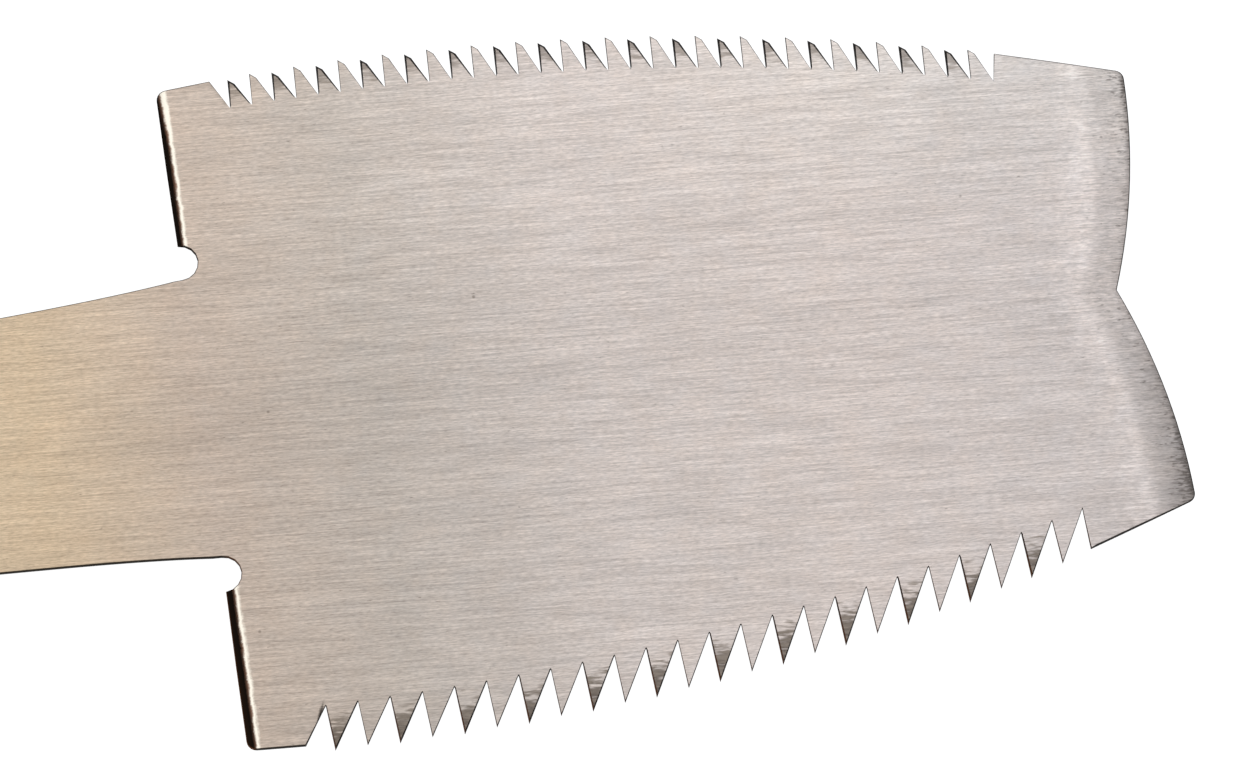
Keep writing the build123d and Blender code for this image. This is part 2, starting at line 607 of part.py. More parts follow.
with BuildPart() as wrap_band_front:
    add(sleeve(WRAP_FRONT_X, GRIP_FRONT_X, BAND_INSET, BAND_WALL))
wrap_band_front.part.label = "wrap_band_front"

with BuildPart() as cane_wrap:
    add(sleeve(WRAP_REAR_X, WRAP_FRONT_X, WRAP_INSET, WRAP_THICKNESS))
cane_wrap.part.label = "cane_wrap"

with BuildPart() as wrap_band_rear:
    add(sleeve(WOOD_FRONT_X, WRAP_REAR_X, BAND_INSET, BAND_WALL))
wrap_band_rear.part.label = "wrap_band_rear"

# End cap: a moulded cup over the end of the wood, with a sunk screw in its end
cap_outside = oval_bar(BUTT_X, CAP_FRONT_X, BUTT_WIDTH, 0)
cap_inside = oval_bar(BUTT_X + CAP_END, CAP_FRONT_X, BUTT_WIDTH, CAP_WALL)
with BuildPart() as end_cap:
    add(cap_outside)
    fillet(end_cap.edges().group_by(Axis.X)[0], CAP_ROUNDING)
    add(cap_inside, mode=Mode.SUBTRACT)
    with Locations((BUTT_X + CAP_END / 2, 0, MIDDLE_Z)):
        Cylinder(CAP_SCREW_RADIUS, 2 * CAP_END, rotation=(0, 90, 0), mode=Mode.SUBTRACT)
    sink_depth = CAP_SCREW_HEAD_RADIUS - CAP_SCREW_RADIUS
    with Locations((BUTT_X + sink_depth / 2, 0, MIDDLE_Z)):
        Cone(CAP_SCREW_HEAD_RADIUS, CAP_SCREW_RADIUS, sink_depth, rotation=(0, 90, 0), mode=Mode.SUBTRACT)
end_cap.part.label = "end_cap"

with BuildPart() as cap_screw:
    with Locations((BUTT_X + sink_depth / 2, 0, MIDDLE_Z)):
        Cone(CAP_SCREW_HEAD_RADIUS, CAP_SCREW_RADIUS, sink_depth, rotation=(0, 90, 0))
    shank_length = CAP_SCREW_LENGTH - sink_depth
    with Locations((BUTT_X + sink_depth + shank_length / 2, 0, MIDDLE_Z)):
        Cylinder(CAP_SCREW_RADIUS, shank_length, rotation=(0, 90, 0))
    chamfer(cap_screw.edges().group_by(Axis.X)[-1], CAP_SCREW_RADIUS / 2)
    recess_width = CAP_SCREW_HEAD_RADIUS / 4
    with Locations((BUTT_X, 0, MIDDLE_Z)):
        Box(sink_depth, recess_width, CAP_SCREW_HEAD_RADIUS, mode=Mode.SUBTRACT)
        Box(sink_depth, CAP_SCREW_HEAD_RADIUS, recess_width, mode=Mode.SUBTRACT)
cap_screw.part.label = "cap_screw"

# Hanging eyelet: a brass tube with a rolled flange on each face of the handle
with BuildPart() as hang_eyelet:
    with BuildSketch(Plane.XY.offset(MIDDLE_Z - eyelet_seat)):
        with Locations((HANG_HOLE_X, 0)):
            Circle(HANG_HOLE_RADIUS + EYELET_WALL)
    extrude(amount=2 * eyelet_seat)
    for side in (1, -1):
        with BuildSketch(Plane.XY.offset(MIDDLE_Z + side * eyelet_seat)):
            with Locations((HANG_HOLE_X, 0)):
                Circle(EYELET_FLANGE_RADIUS)
        extrude(amount=side * EYELET_FLANGE_THICKNESS)
    rims = hang_eyelet.edges().filter_by(GeomType.CIRCLE).group_by(Axis.Z)
    fillet(rims[0] + rims[-1], 0.7 * EYELET_FLANGE_THICKNESS)
    with Locations((HANG_HOLE_X, 0, MIDDLE_Z)):
        Cylinder(HANG_HOLE_RADIUS, 2 * HANDLE_THICKNESS, mode=Mode.SUBTRACT)
hang_eyelet.part.label = "hang_eyelet"

pieces = [
    blade, blade_holder, hook_pin, clamp_nut, clamp_washer, clamp_screw, screw_retainer,
    handle_half_upper, handle_half_lower, holder_dowels, front_ferrule, ferrule_brads,
    wrap_band_front, cane_wrap, wrap_band_rear, end_cap, cap_screw, hang_eyelet,
]
os.makedirs("parts", exist_ok=True)
for piece in pieces:
    export_step(piece.part, f"parts/{piece.part.label}.step")
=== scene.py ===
from dataclasses import dataclass
from math import cos, pi, radians, sin, sqrt

import bmesh
import bpy
import numpy as np
from mathutils import Matrix, Vector


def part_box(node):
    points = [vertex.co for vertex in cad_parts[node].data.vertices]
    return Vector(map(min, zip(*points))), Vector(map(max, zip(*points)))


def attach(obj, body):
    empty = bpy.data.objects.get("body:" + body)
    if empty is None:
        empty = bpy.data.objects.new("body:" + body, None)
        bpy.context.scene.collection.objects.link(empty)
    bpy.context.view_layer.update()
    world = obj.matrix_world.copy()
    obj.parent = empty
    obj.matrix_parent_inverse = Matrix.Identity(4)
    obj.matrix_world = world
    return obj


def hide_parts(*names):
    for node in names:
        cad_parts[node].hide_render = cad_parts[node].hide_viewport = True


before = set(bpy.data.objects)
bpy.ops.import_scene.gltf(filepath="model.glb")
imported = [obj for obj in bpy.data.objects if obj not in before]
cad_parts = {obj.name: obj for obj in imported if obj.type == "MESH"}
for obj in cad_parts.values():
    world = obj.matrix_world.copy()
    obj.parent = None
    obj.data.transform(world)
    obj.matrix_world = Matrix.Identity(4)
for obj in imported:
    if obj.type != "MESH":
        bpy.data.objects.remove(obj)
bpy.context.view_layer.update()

# Looks of a double-edged pull saw. Lengths are millimetres until a mesh is made.
MM = 0.001

# Blade, as in the CAD source
HEAD_LENGTH = 80.7
HEAD_WIDTH = 57.9
BLADE_THICKNESS = 0.6
SET = 0.22
HEEL_RISE = 0.3
CORNER_RADIUS = 0.8
TOE_WIDTH = 37.6
TOE_NOTCH_DEPTH = 3.6
SCALLOP_RADIUS = 53.8
RELIEF_RADIUS = 1.5
RELIEF_OFFSET = 0.05
NECK_ROOT_WIDTH = 24.2
NECK_FLARE_LENGTH = 14.0
NECK_FLARE_WIDTH = 22.06
NECK_BEND_SETBACK = 5.04
NECK_LENGTH = 72.0
TANG_WIDTH = 16.4
TANG_END_RADIUS = 6.5
SCREW_SETBACK = 9.0
SCREW_TO_PIN = 17.0
PIN_HOLE_RADIUS = 2.05
SCREW_SLOT_HALF_WIDTH = 2.7
TANG_START_X = -NECK_LENGTH - 1.5            # where the neck's mesh meets the tang's

# Stations in the row frame
blade_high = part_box("blade")[1]
ferrule_low, ferrule_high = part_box("front_ferrule")
SHOULDER_X = blade_high.x / MM - HEAD_LENGTH
MIDDLE_Z = (ferrule_low.z + ferrule_high.z) / 2 / MM


# Meshes -----------------------------------------------------------------

def grid_quads(rows, columns, first):
    """Corner numbers of the quads between neighbouring points of a grid."""
    numbers = first + np.arange(rows * columns).reshape(rows, columns)
    corners = [numbers[:-1, :-1], numbers[:-1, 1:], numbers[1:, 1:], numbers[1:, :-1]]
    return np.stack(corners, -1).reshape(-1, 4)


def make_piece(name, grids, body, material, replaced=(), polygons=(), marks=None, sharp=35.0):
    """One closed mesh from grids of points (rows, columns, 3) in millimetres and flat
    polygons. Points that coincide are merged, faces are turned outwards and edges that
    turn by more than the sharp angle stay crisp. The marks function turns the final
    points into the named values that the material reads."""
    points, faces, first = [], [], 0
    for grid in grids:
        points.append(grid.reshape(-1, 3))
        faces.extend(grid_quads(grid.shape[0], grid.shape[1], first).tolist())
        first += grid.shape[0] * grid.shape[1]
    for polygon in polygons:
        points.append(polygon)
        faces.append(list(range(first, first + len(polygon))))
        first += len(polygon)
    mesh = bpy.data.meshes.new(name)
    mesh.from_pydata((np.concatenate(points) * MM).tolist(), [], faces)
    work = bmesh.new()
    work.from_mesh(mesh)
    bmesh.ops.remove_doubles(work, verts=work.verts, dist=0.004 * MM)
    bmesh.ops.dissolve_degenerate(work, edges=work.edges, dist=0.002 * MM)
    bmesh.ops.recalc_face_normals(work, faces=work.faces)
    work.to_mesh(mesh)
    work.free()
    mesh.polygons.foreach_set("use_smooth", np.ones(len(mesh.polygons), bool))
    mesh.set_sharp_from_angle(angle=radians(sharp))
    if marks:
        places = np.empty(len(mesh.vertices) * 3)
        mesh.vertices.foreach_get("co", places)
        for mark, values in marks(places.reshape(-1, 3) / MM).items():
            mesh.attributes.new(mark, "FLOAT", "POINT").data.foreach_set("value", values)
    mesh.materials.append(material)
    piece = bpy.data.objects.new(name, mesh)
    bpy.context.scene.collection.objects.link(piece)
    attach(piece, body)
    if replaced:
        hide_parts(*replaced)
    return piece


def arc_points(centre, radius, start, end, count):
    """Points on an arc: the centre plus the radius times cosine and sine of an angle
    that runs from start to end, in degrees."""
    angle = np.radians(np.linspace(start, end, count))
    return np.stack([centre[0] + radius * np.cos(angle), centre[1] + radius * np.sin(angle)], -1)


def line_points(start, end, count):
    """Evenly spaced points from start to end."""
    share = np.linspace(0, 1, count)[:, None]
    return np.array(start) * (1 - share) + np.array(end) * share


def smooth_step(low, high, value):
    """0 below low, 1 above high and 3t^2 - 2t^3 between."""
    share = np.clip((value - low) / (high - low), 0, 1)
    return share * share * (3 - 2 * share)


# Blade ------------------------------------------------------------------

def arc_height(along, crest_x, crest, radius):
    """Height of an arc that curves down on both sides of its crest."""
    return crest - radius + np.sqrt(radius**2 - (along - crest_x) ** 2)


@dataclass
class ToothRow:
    """One toothed edge, with heights measured from the blade's centre line."""

    side: int
    teeth: int
    columns: int             # mesh columns for each tooth
    tip_column: int
    facet_column: int
    heel_end: float
    first_gullet: float
    toe_margin: float
    root_crest: float
    root_drop: float
    root_radius: float
    tip_crest: float
    tip_rise: float
    tip_radius: float
    lean: float
    facet_length: float
    facet_drop: float
    toe_flat_start: float
    toe_flat_drop: float
    front_bevel: float       # width of the filed bevel on a tooth's front
    back_bevel: float

    @property
    def last_gullet(self):
        return HEAD_LENGTH - self.toe_margin

    @property
    def step(self):
        return (self.last_gullet - self.first_gullet) / self.teeth

    def root_height(self, along):
        return arc_height(along, self.root_crest, HEAD_WIDTH / 2 - self.root_drop, self.root_radius)

    def tip_height(self, along):
        return arc_height(along, self.tip_crest, HEAD_WIDTH / 2 + self.tip_rise, self.tip_radius)


CROSSCUT = ToothRow(
    side=1, teeth=34, columns=12, tip_column=4, facet_column=7,
    heel_end=4.6, first_gullet=6.02, toe_margin=10.9,
    root_crest=12.7, root_drop=2.5, root_radius=236.6,
    tip_crest=15.1, tip_rise=0.25, tip_radius=211.6,
    lean=0.1, facet_length=0.55, facet_drop=0.43,
    toe_flat_start=0.4, toe_flat_drop=0.293,
    front_bevel=0.17, back_bevel=0.22,
)
RIP = ToothRow(
    side=-1, teeth=24, columns=17, tip_column=6, facet_column=6,
    heel_end=4.8, first_gullet=6.87, toe_margin=9.46,
    root_crest=11.6, root_drop=3.14, root_radius=237.9,
    tip_crest=16.0, tip_rise=0.85, tip_radius=201.2,
    lean=0.28, facet_length=0.0, facet_drop=0.0,
    toe_flat_start=0.14, toe_flat_drop=0.314,
    front_bevel=0.12, back_bevel=0.08,
)
HALF_ROWS = 20               # mesh rows from the centre line to an edge
NECK_ROWS = 5
RELIEF_ROWS = 8
CORNER_ROWS = 5
EDGE_BREAK = 0.1             # rounding where the plate's faces meet its rim
EDGE_STEPS = 4
FILE_DEPTH = 0.3             # of the bevel filed on a tooth, through the plate
TOOTH_BREAK = 0.06           # worn edge of a tooth where it has no bevel
ROLL_WIDTH = 1.35            # rounded strip along the shoulders
ROLL_DEPTH = 0.2
ROLL_FADE = (14.3, 15.3)     # heights beside the neck between which the roll begins
# The rolled strip's painted highlight and painted shade fade in between these heights
ROLL_PAINT_FADE = (13.2, 14.6)  # the same for its finish
HEAD_START = -0.5            # just behind the shoulders
GRIND_WIDTH = 6.6            # ground strip along the toe
GRIND_DEPTH = 0.2
GRIND_POWER = 1.7
EDGE_FADE = 4                # how fast the shape of an edge fades towards the centre line
SET_POWER = 1.15
FOOT_SHARE = 0.6             # of a side's inset, kept at its foot
FOOT_STEP = 0.06             # from a gullet up the side to that foot


def shoulder_edge(row):
    """Half of the head's handle end as heights above the centre line: the neck's
    root, the relief notch, the shoulder and the rounding into the heel's flat."""
    relief_y = NECK_ROOT_WIDTH / 2 + RELIEF_RADIUS - RELIEF_OFFSET
    rise = HEEL_RISE / row.heel_end
    tilt = sqrt(1 + rise * rise)
    flat_height = HEAD_WIDTH / 2 - HEEL_RISE + rise * CORNER_RADIUS
    corner = (CORNER_RADIUS, flat_height - CORNER_RADIUS * tilt)
    root = line_points((RELIEF_OFFSET, 0), (RELIEF_OFFSET, relief_y - RELIEF_RADIUS), NECK_ROWS + 1)
    relief = arc_points((RELIEF_OFFSET, relief_y), RELIEF_RADIUS, -90, 90, RELIEF_ROWS + 1)
    rounding = arc_points(corner, CORNER_RADIUS, 180, 90 + np.degrees(np.arctan(rise)), CORNER_ROWS + 1)
    middle = [[0, (relief[-1, 1] + rounding[0, 1]) / 2]]
    return np.concatenate([root, relief[1:], middle, rounding])


def scallop_centre():
    """Centre of a toe scallop, from its two ends and its radius."""
    chord = np.array([TOE_NOTCH_DEPTH, TOE_WIDTH / 2])
    length = np.hypot(*chord)
    middle = np.array([HEAD_LENGTH, TOE_WIDTH / 2]) - chord / 2
    across = np.array([-chord[1], chord[0]]) / length
    return middle + across * sqrt(SCALLOP_RADIUS**2 - (length / 2) ** 2)


def toe_edge(row):
    """Half of the toe: the scallop from the middle notch outwards and the rounding
    into the toe's flat. The small cosine of the rounding's place is taken as 1."""
    centre = scallop_centre()
    slope = row.toe_flat_drop
    inner = SCALLOP_RADIUS - CORNER_RADIUS
    drop = -CORNER_RADIUS * sqrt(1 + slope * slope) + slope * CORNER_RADIUS - (centre[1] - TOE_WIDTH / 2)
    turn = np.degrees(np.arcsin(drop / inner))
    corner = centre + inner * np.array([cos(radians(turn)), sin(radians(turn))])
    notch = np.degrees(np.arctan2(-centre[1], HEAD_LENGTH - TOE_NOTCH_DEPTH - centre[0]))
    scallop = arc_points(centre, SCALLOP_RADIUS, notch, turn, HALF_ROWS - CORNER_ROWS + 1)
    rounding = arc_points(corner, CORNER_RADIUS, turn, 90 - np.degrees(np.arctan(slope)), CORNER_ROWS + 1)
    return np.concatenate([scallop[:-1], rounding])


def both_halves(top, bottom):
    """Rows from the rip edge to the crosscut edge, from two half edges given as heights."""
    return np.concatenate([bottom[:0:-1] * [1, -1], top])


def gullet_line(along_share, top_heights, bottom_heights):
    """Straight line across the head at a share of the toothed length, with a row at each
    of the heights, which run from 0 on the centre line to 1 at the line of gullets."""
    ends = []
    for row in (CROSSCUT, RIP):
        along = row.first_gullet + along_share * (row.last_gullet - row.first_gullet)
        ends.append(np.array([along, row.root_height(along)]))
    middle = np.array([(ends[0][0] + ends[1][0]) / 2, 0])
    top = middle + top_heights[:, None] * (ends[0] - middle)
    bottom = middle + bottom_heights[:, None] * (ends[1] - middle)
    return both_halves(top, bottom)


def edge_patch(left, right, top, bottom, top_rows, bottom_rows):
    """Flat grid between four edges: the straight blend of left and right, plus what the
    top and bottom edges stand off that blend, which fades towards the centre line."""
    share = (top[:, :1] - top[0, 0]) / (top[-1, 0] - top[0, 0])
    blend = left * (1 - share[..., None]) + right * share[..., None]
    top_off = top - top[0] * (1 - share) - top[-1] * share
    bottom_off = bottom - bottom[0] * (1 - share) - bottom[-1] * share
    top_share = np.concatenate([np.zeros(HALF_ROWS), top_rows]) ** EDGE_FADE
    bottom_share = np.concatenate([bottom_rows[::-1], np.zeros(HALF_ROWS)]) ** EDGE_FADE
    return blend + top_off[:, None] * top_share[:, None] + bottom_off[:, None] * bottom_share[:, None]


def strip_shares(x, y):
    """How far points lie in the toe's ground strip and in the shoulders' rolled strip, each
    from 0 at its inner edge to 1 at the blade's rim."""
    centre = scallop_centre()
    from_toe = SCALLOP_RADIUS - np.hypot(x - centre[0], np.abs(y) - centre[1])
    ground = np.clip(1 - from_toe / GRIND_WIDTH, 0, 1) * (x > HEAD_LENGTH / 2)
    return ground, np.clip(1 - x / ROLL_WIDTH, 0, 1) * (x > HEAD_START)


def face_height(points):
    """Height of the blade's face above its middle plane: half the thickness, less the
    ground strip, to a power of how far a point lies in it, and the square of the roll."""
    x, y = points[..., 0], points[..., 1]
    ground, rolled = strip_shares(x, y)
    roll = ROLL_DEPTH * rolled**2 * smooth_step(*ROLL_FADE, np.abs(y))
    return BLADE_THICKNESS / 2 - GRIND_DEPTH * ground**GRIND_POWER - roll


def two_faces(flat):
    """Upper and lower face over a flat grid of points."""
    height = face_height(flat)
    return [np.concatenate([flat, side * height[..., None]], -1) for side in (1, -1)]


def unit(vectors):
    """Vectors brought to length 1."""
    return vectors / np.linalg.norm(vectors, axis=1, keepdims=True)


def right_of(vectors):
    """Vectors turned a quarter turn to the right."""
    return np.stack([vectors[:, 1], -vectors[:, 0]], -1)


def rim(outline, edge_break):
    """Rounded rim along an outline: a half-round of the given size at each face, with the
    outline itself where the rim is upright. The inside of the outline is on its left."""
    inward = -right_of(unit(np.gradient(outline, axis=0)))
    edge_break = edge_break[:, None]
    inner = outline + inward * edge_break
    height = face_height(inner)[:, None]
    turn = np.linspace(0, np.pi / 2, EDGE_STEPS + 1)[None]
    inset = edge_break * (1 - np.sin(turn))
    level = height - edge_break * (1 - np.cos(turn))
    level = np.concatenate([level, -level[:, ::-1]], 1)
    inset = np.concatenate([inset, inset[:, ::-1]], 1)
    flat = outline[:, None] + inward[:, None] * inset[..., None]
    return np.concatenate([flat, level[..., None]], -1), inner


def tooth_grids(row):
    """All teeth of a row as grids (tooth, column, height). A tooth's outline runs up its
    front, over its facet and down its back, and its faces are straight blends from the
    line of gullets to that outline. A tooth bent down has its bevels on the upper face."""
    number = np.arange(row.teeth)
    start = row.first_gullet + number * row.step
    base_x = start[:, None] + np.arange(row.columns + 1) / row.columns * row.step
    base = np.stack([base_x, row.root_height(base_x)], -1)
    tip = np.stack([start + row.lean, row.tip_height(start + row.lean)], -1)
    corners = (base[:, 0], tip, tip + [row.facet_length, -row.facet_drop], base[:, -1])
    bent = np.where(number % 2 == 0, -1.0, 1.0)
    full = tooth_outline(row, corners, 0.0, 0.0)
    inset = tooth_outline(row, corners, row.front_bevel, row.back_bevel)
    worn = tooth_outline(row, corners, TOOTH_BREAK, TOOTH_BREAK)
    level = np.linspace(0, 1, 5)[:, None]
    solid_root = np.ones(row.columns + 1)
    solid_root[[0, -1]] = 0
    faces, edges = [], []
    for face in (1, -1):
        bevelled = (bent == -face)[:, None, None]
        outline = np.where(bevelled, inset, worn)
        depth = np.where(bevelled[..., 0], FILE_DEPTH, TOOTH_BREAK) * solid_root
        flat = base[:, :, None] * (1 - level) + outline[:, :, None] * level
        solid = bent_teeth(row, flat, face * BLADE_THICKNESS / 2, bent)
        foot = bent_teeth(row, full[:, :, None], face * (BLADE_THICKNESS / 2 - depth[..., None]), bent)
        faces.extend(solid)
        edges.append([solid[:, :, -1], foot[:, :, 0]])
    rims = np.stack([edges[0][0], edges[0][1], edges[1][1], edges[1][0]], 2)
    return faces + list(rims)


def bent_teeth(row, flat, level, bent):
    """Points of the teeth at a level of the plate, lifted or lowered by the set, which
    grows with a power of the height above the line of gullets."""
    height = (flat[..., 1] - row.root_height(flat[..., 0])) / (row.root_drop + row.tip_rise)
    bend = bent[:, None, None] * SET * np.clip(height, 0, 1) ** SET_POWER
    return np.stack([flat[..., 0], row.side * flat[..., 1], level + bend], -1)


def tooth_outline(row, corners, front_inset, back_inset):
    """Outline of each tooth, moved into the tooth by an inset on its front and on its
    back. The moved lines meet in new corners, and the gullets stay where they are."""
    front, tip, facet, back = corners
    if not row.facet_length:
        facet = tip
        moved_tip = moved_facet = corner_between(front, tip, back, front_inset, back_inset)
    else:
        moved_tip = corner_between(front, tip, facet, front_inset, back_inset)
        moved_facet = corner_between(tip, facet, back, back_inset, back_inset)
    front_foot = foot_point(front, tip, front_inset, 1)
    back_foot = foot_point(back, facet, back_inset, -1)
    up = columns_between(front_foot, moved_tip, row.tip_column)
    over = columns_between(moved_tip, moved_facet, row.facet_column - row.tip_column + 1)
    down = columns_between(moved_facet, back_foot, row.columns - row.facet_column)
    return np.concatenate([front[:, None], up, over[:, 1:], down[:, 1:], back[:, None]], 1)


def columns_between(start, end, count):
    """For each tooth, evenly spaced points from its start to its end."""
    share = np.linspace(0, 1, count)[:, None]
    return start[:, None] * (1 - share) + end[:, None] * share


def foot_point(foot, top, inset, side):
    """Start of a moved side just above its gullet: part of the inset across the side, and
    a step up the side that keeps it above the line of gullets."""
    up = unit(top - foot)
    return foot + side * right_of(up) * FOOT_SHARE * inset + up * (FOOT_STEP + inset)


def corner_between(before, corner, after, before_inset, after_inset):
    """Where the two sides that meet in a corner cross once each has moved to its right
    by its inset, for outlines that run clockwise round the tooth."""
    into, out = unit(corner - before), unit(after - corner)
    start = before + right_of(into) * before_inset
    gap = corner + right_of(out) * after_inset - start
    cross = into[:, 0] * out[:, 1] - into[:, 1] * out[:, 0]
    reach = (gap[:, 0] * out[:, 1] - gap[:, 1] * out[:, 0]) / cross
    return start + into * reach[:, None]


def neck_edge():
    """Upper edge of the neck from the tang to the head: parallel in the holder, a straight
    taper, and a quadratic curve that flares into the head."""
    root = NECK_ROOT_WIDTH / 2
    flare = NECK_FLARE_WIDTH / 2
    taper_slope = (flare - TANG_WIDTH / 2) / (NECK_LENGTH - NECK_FLARE_LENGTH)
    rise = taper_slope * (NECK_FLARE_LENGTH - NECK_BEND_SETBACK)
    bend = np.array([-NECK_BEND_SETBACK, flare + rise])
    share = np.linspace(0, 1, 17)[:-1, None]
    start, end = np.array([-NECK_FLARE_LENGTH, flare]), np.array([0, root])
    curve = start * (1 - share) ** 2 + 2 * bend * share * (1 - share) + end * share**2
    taper = line_points((-NECK_LENGTH, TANG_WIDTH / 2), start, 13)[:-1]
    return np.concatenate([[[TANG_START_X, TANG_WIDTH / 2]], taper, curve])


def rim_rounding(count):
    """Size of the rim's rounding along an outline, which fades out at a gullet."""
    rounding = np.full(count, EDGE_BREAK)
    rounding[-4:] = EDGE_BREAK * np.array([0.6, 0.3, 0.1, 0])
    return rounding


def handle_side(row):
    """Edge of the blade from the tang to the first gullet, as heights, with the size of
    its rim's rounding and the number of the point where the shoulder's rows begin."""
    neck = neck_edge()
    shoulder = shoulder_edge(row)[NECK_ROWS:]
    heel_end = (row.heel_end, HEAD_WIDTH / 2)
    gullet = (row.first_gullet, row.root_height(row.first_gullet))
    flat_share = np.array([[0.04, 0.08, 0.13, 0.2, 0.3, 0.45, 0.7, 1.0]]).T
    flat = shoulder[-1] * (1 - flat_share) + np.array(heel_end) * flat_share
    flank = line_points(heel_end, gullet, 5)[1:]
    outline = np.concatenate([neck, shoulder, flat, flank])
    rounding = rim_rounding(len(outline))
    rounding[0] = 0
    return outline, rounding, len(neck)


def toe_side(row):
    """Edge of the blade from the toe's notch to the last gullet, as heights, with the
    size of its rim's rounding."""
    toe = toe_edge(row)
    flat_x = row.last_gullet + row.toe_flat_start
    flat_end = (flat_x, TOE_WIDTH / 2 + row.toe_flat_drop * (HEAD_LENGTH - flat_x))
    gullet = (row.last_gullet, row.root_height(row.last_gullet))
    flat = line_points(toe[-1], flat_end, 17)[1:]
    front = line_points(flat_end, gullet, 5)[1:]
    outline = np.concatenate([toe, flat, front])
    return outline, rim_rounding(len(outline))


def tang_outline():
    """Tang from above: parallel sides, a round end about the hook pin, a slot for the pin
    and an arc-shaped slot for the screw's shank, both open on the crosscut side."""
    pin = np.array([-NECK_LENGTH - SCREW_SETBACK - SCREW_TO_PIN, 0])
    half = TANG_WIDTH / 2
    outer = SCREW_TO_PIN + SCREW_SLOT_HALF_WIDTH
    inner = SCREW_TO_PIN - SCREW_SLOT_HALF_WIDTH
    outer_turn = np.degrees(np.arcsin(half / outer))
    inner_turn = np.degrees(np.arcsin(half / inner))
    lip = half - (half - TANG_END_RADIUS) * (1 - PIN_HOLE_RADIUS / TANG_END_RADIUS)
    back_turn = 90 + np.degrees(np.arcsin(PIN_HOLE_RADIUS / TANG_END_RADIUS))
    parts = [
        [[TANG_START_X - pin[0], half]],
        arc_points((0, 0), outer, outer_turn, 0, 9),
        arc_points((SCREW_TO_PIN, 0), SCREW_SLOT_HALF_WIDTH, 0, -180, 17)[1:-1],
        arc_points((0, 0), inner, 0, inner_turn, 9),
        [[TANG_END_RADIUS, half], [PIN_HOLE_RADIUS, lip]],
        arc_points((0, 0), PIN_HOLE_RADIUS, 0, -180, 17),
        arc_points((0, 0), TANG_END_RADIUS, back_turn, 270, 25),
        [[TANG_END_RADIUS, -half], [TANG_START_X - pin[0], -half]],
    ]
    return np.concatenate([np.array(part, float) for part in parts]) + pin


def handle_end_grids():
    """Rims and faces of the head's handle end and of the neck. They come with the shares of
    height of the head's mesh rows, above and below, and with the neck's first line."""
    rims, inner, halves = [], {}, {}
    for row in (CROSSCUT, RIP):
        outline, rounding, neck_count = handle_side(row)
        order = slice(None, None, -row.side)
        strip, edge = rim((outline * [1, row.side])[order], rounding[order])
        rims.append(strip)
        inner[row.side] = (edge * [1, row.side])[order]
    shoulder_end = neck_count + len(shoulder_edge(CROSSCUT)) - NECK_ROWS
    for side, edge in inner.items():
        inside = line_points((edge[neck_count, 0], 0), edge[neck_count], NECK_ROWS + 1)[:-1]
        halves[side] = np.concatenate([inside, edge[neck_count:shoulder_end]])
    even = np.linspace(0, 1, HALF_ROWS + 1)
    rows = [(halves[side][:, 1] / halves[side][-1, 1] + even) / 2 for side in (1, -1)]
    left, right = both_halves(halves[1], halves[-1]), gullet_line(0, *rows)
    top, bottom = (inner[side][shoulder_end - 1:] * [1, side] for side in (1, -1))
    head = edge_patch(left, right, top, bottom, *rows)
    across = np.linspace(-1, 1, 2 * NECK_ROWS + 1)
    edge = inner[1][:neck_count + 1]
    neck = np.stack([edge[:, :1] + 0 * across, edge[:, 1:] * across], -1)
    return rims + two_faces(head) + two_faces(neck), rows, neck[0]


def toe_end_grids():
    """Rim and faces of the head's toe end, with the shares of height of its mesh rows."""
    top_outline, top_rounding = toe_side(CROSSCUT)
    bottom_outline, bottom_rounding = toe_side(RIP)
    outline = both_halves(top_outline, bottom_outline)
    strip, inner = rim(outline, np.concatenate([bottom_rounding[:0:-1], top_rounding]))
    middle = len(bottom_outline) - 1
    halves = [inner[middle:], inner[middle::-1] * [1, -1]]
    rows = []
    for half in halves:
        rows.append(half[:HALF_ROWS + 1, 1] / half[HALF_ROWS, 1])
        rows[-1][0] = 0
    left, right = gullet_line(1, *rows), both_halves(*(half[:HALF_ROWS + 1] for half in halves))
    top, bottom = (half[HALF_ROWS:][::-1] for half in halves)
    return [strip] + two_faces(edge_patch(left, right, top, bottom * [1, -1], *rows)), rows


def blade_grids():
    """Grids and polygons of the whole blade, with the shoulders at x = 0."""
    grids, heel_rows, neck_start = handle_end_grids()
    toe_grids, toe_rows = toe_end_grids()
    lines = []
    for share in np.linspace(0, 1, CROSSCUT.teeth * CROSSCUT.columns + 1):
        rows = [heel * (1 - share) + toe * share for heel, toe in zip(heel_rows, toe_rows)]
        lines.append(gullet_line(share, *rows))
    grids += toe_grids + two_faces(np.stack(lines)) + tooth_grids(CROSSCUT) + tooth_grids(RIP)

    # Tang, whose polygons share the neck's first line
    upper = np.insert(tang_outline(), 2, BLADE_THICKNESS / 2, 1)
    seam = np.insert(neck_start[1:-1], 2, BLADE_THICKNESS / 2, 1)
    down = [1, 1, -1]
    grids.append(np.stack([upper, upper * down], 1))
    tang = np.concatenate([upper, seam])
    return grids, [tang, tang * down]


def blade_marks(points):
    """How far each point lies in the toe's ground strip, in the shoulders' rolled strip
    and up a tooth that is bent down, each from 0 to 1."""
    x, y, _ = (points - [SHOULDER_X, 0, MIDDLE_Z]).T
    ground, rolled = strip_shares(x, y)
    bent = np.zeros(len(x))
    for row in (CROSSCUT, RIP):
        height = (row.side * y - row.root_height(x)) / (row.root_drop + row.tip_rise)
        number = np.floor((x - row.first_gullet) / row.step - 0.05)
        inside = (number >= 0) & (number < row.teeth) & (number % 2 == 0)
        bent = np.maximum(bent, np.where(inside, np.clip(height, 0, 1), 0))
    return {"ground": ground, "rolled": rolled * smooth_step(*ROLL_PAINT_FADE, np.abs(y)), "bent": bent}


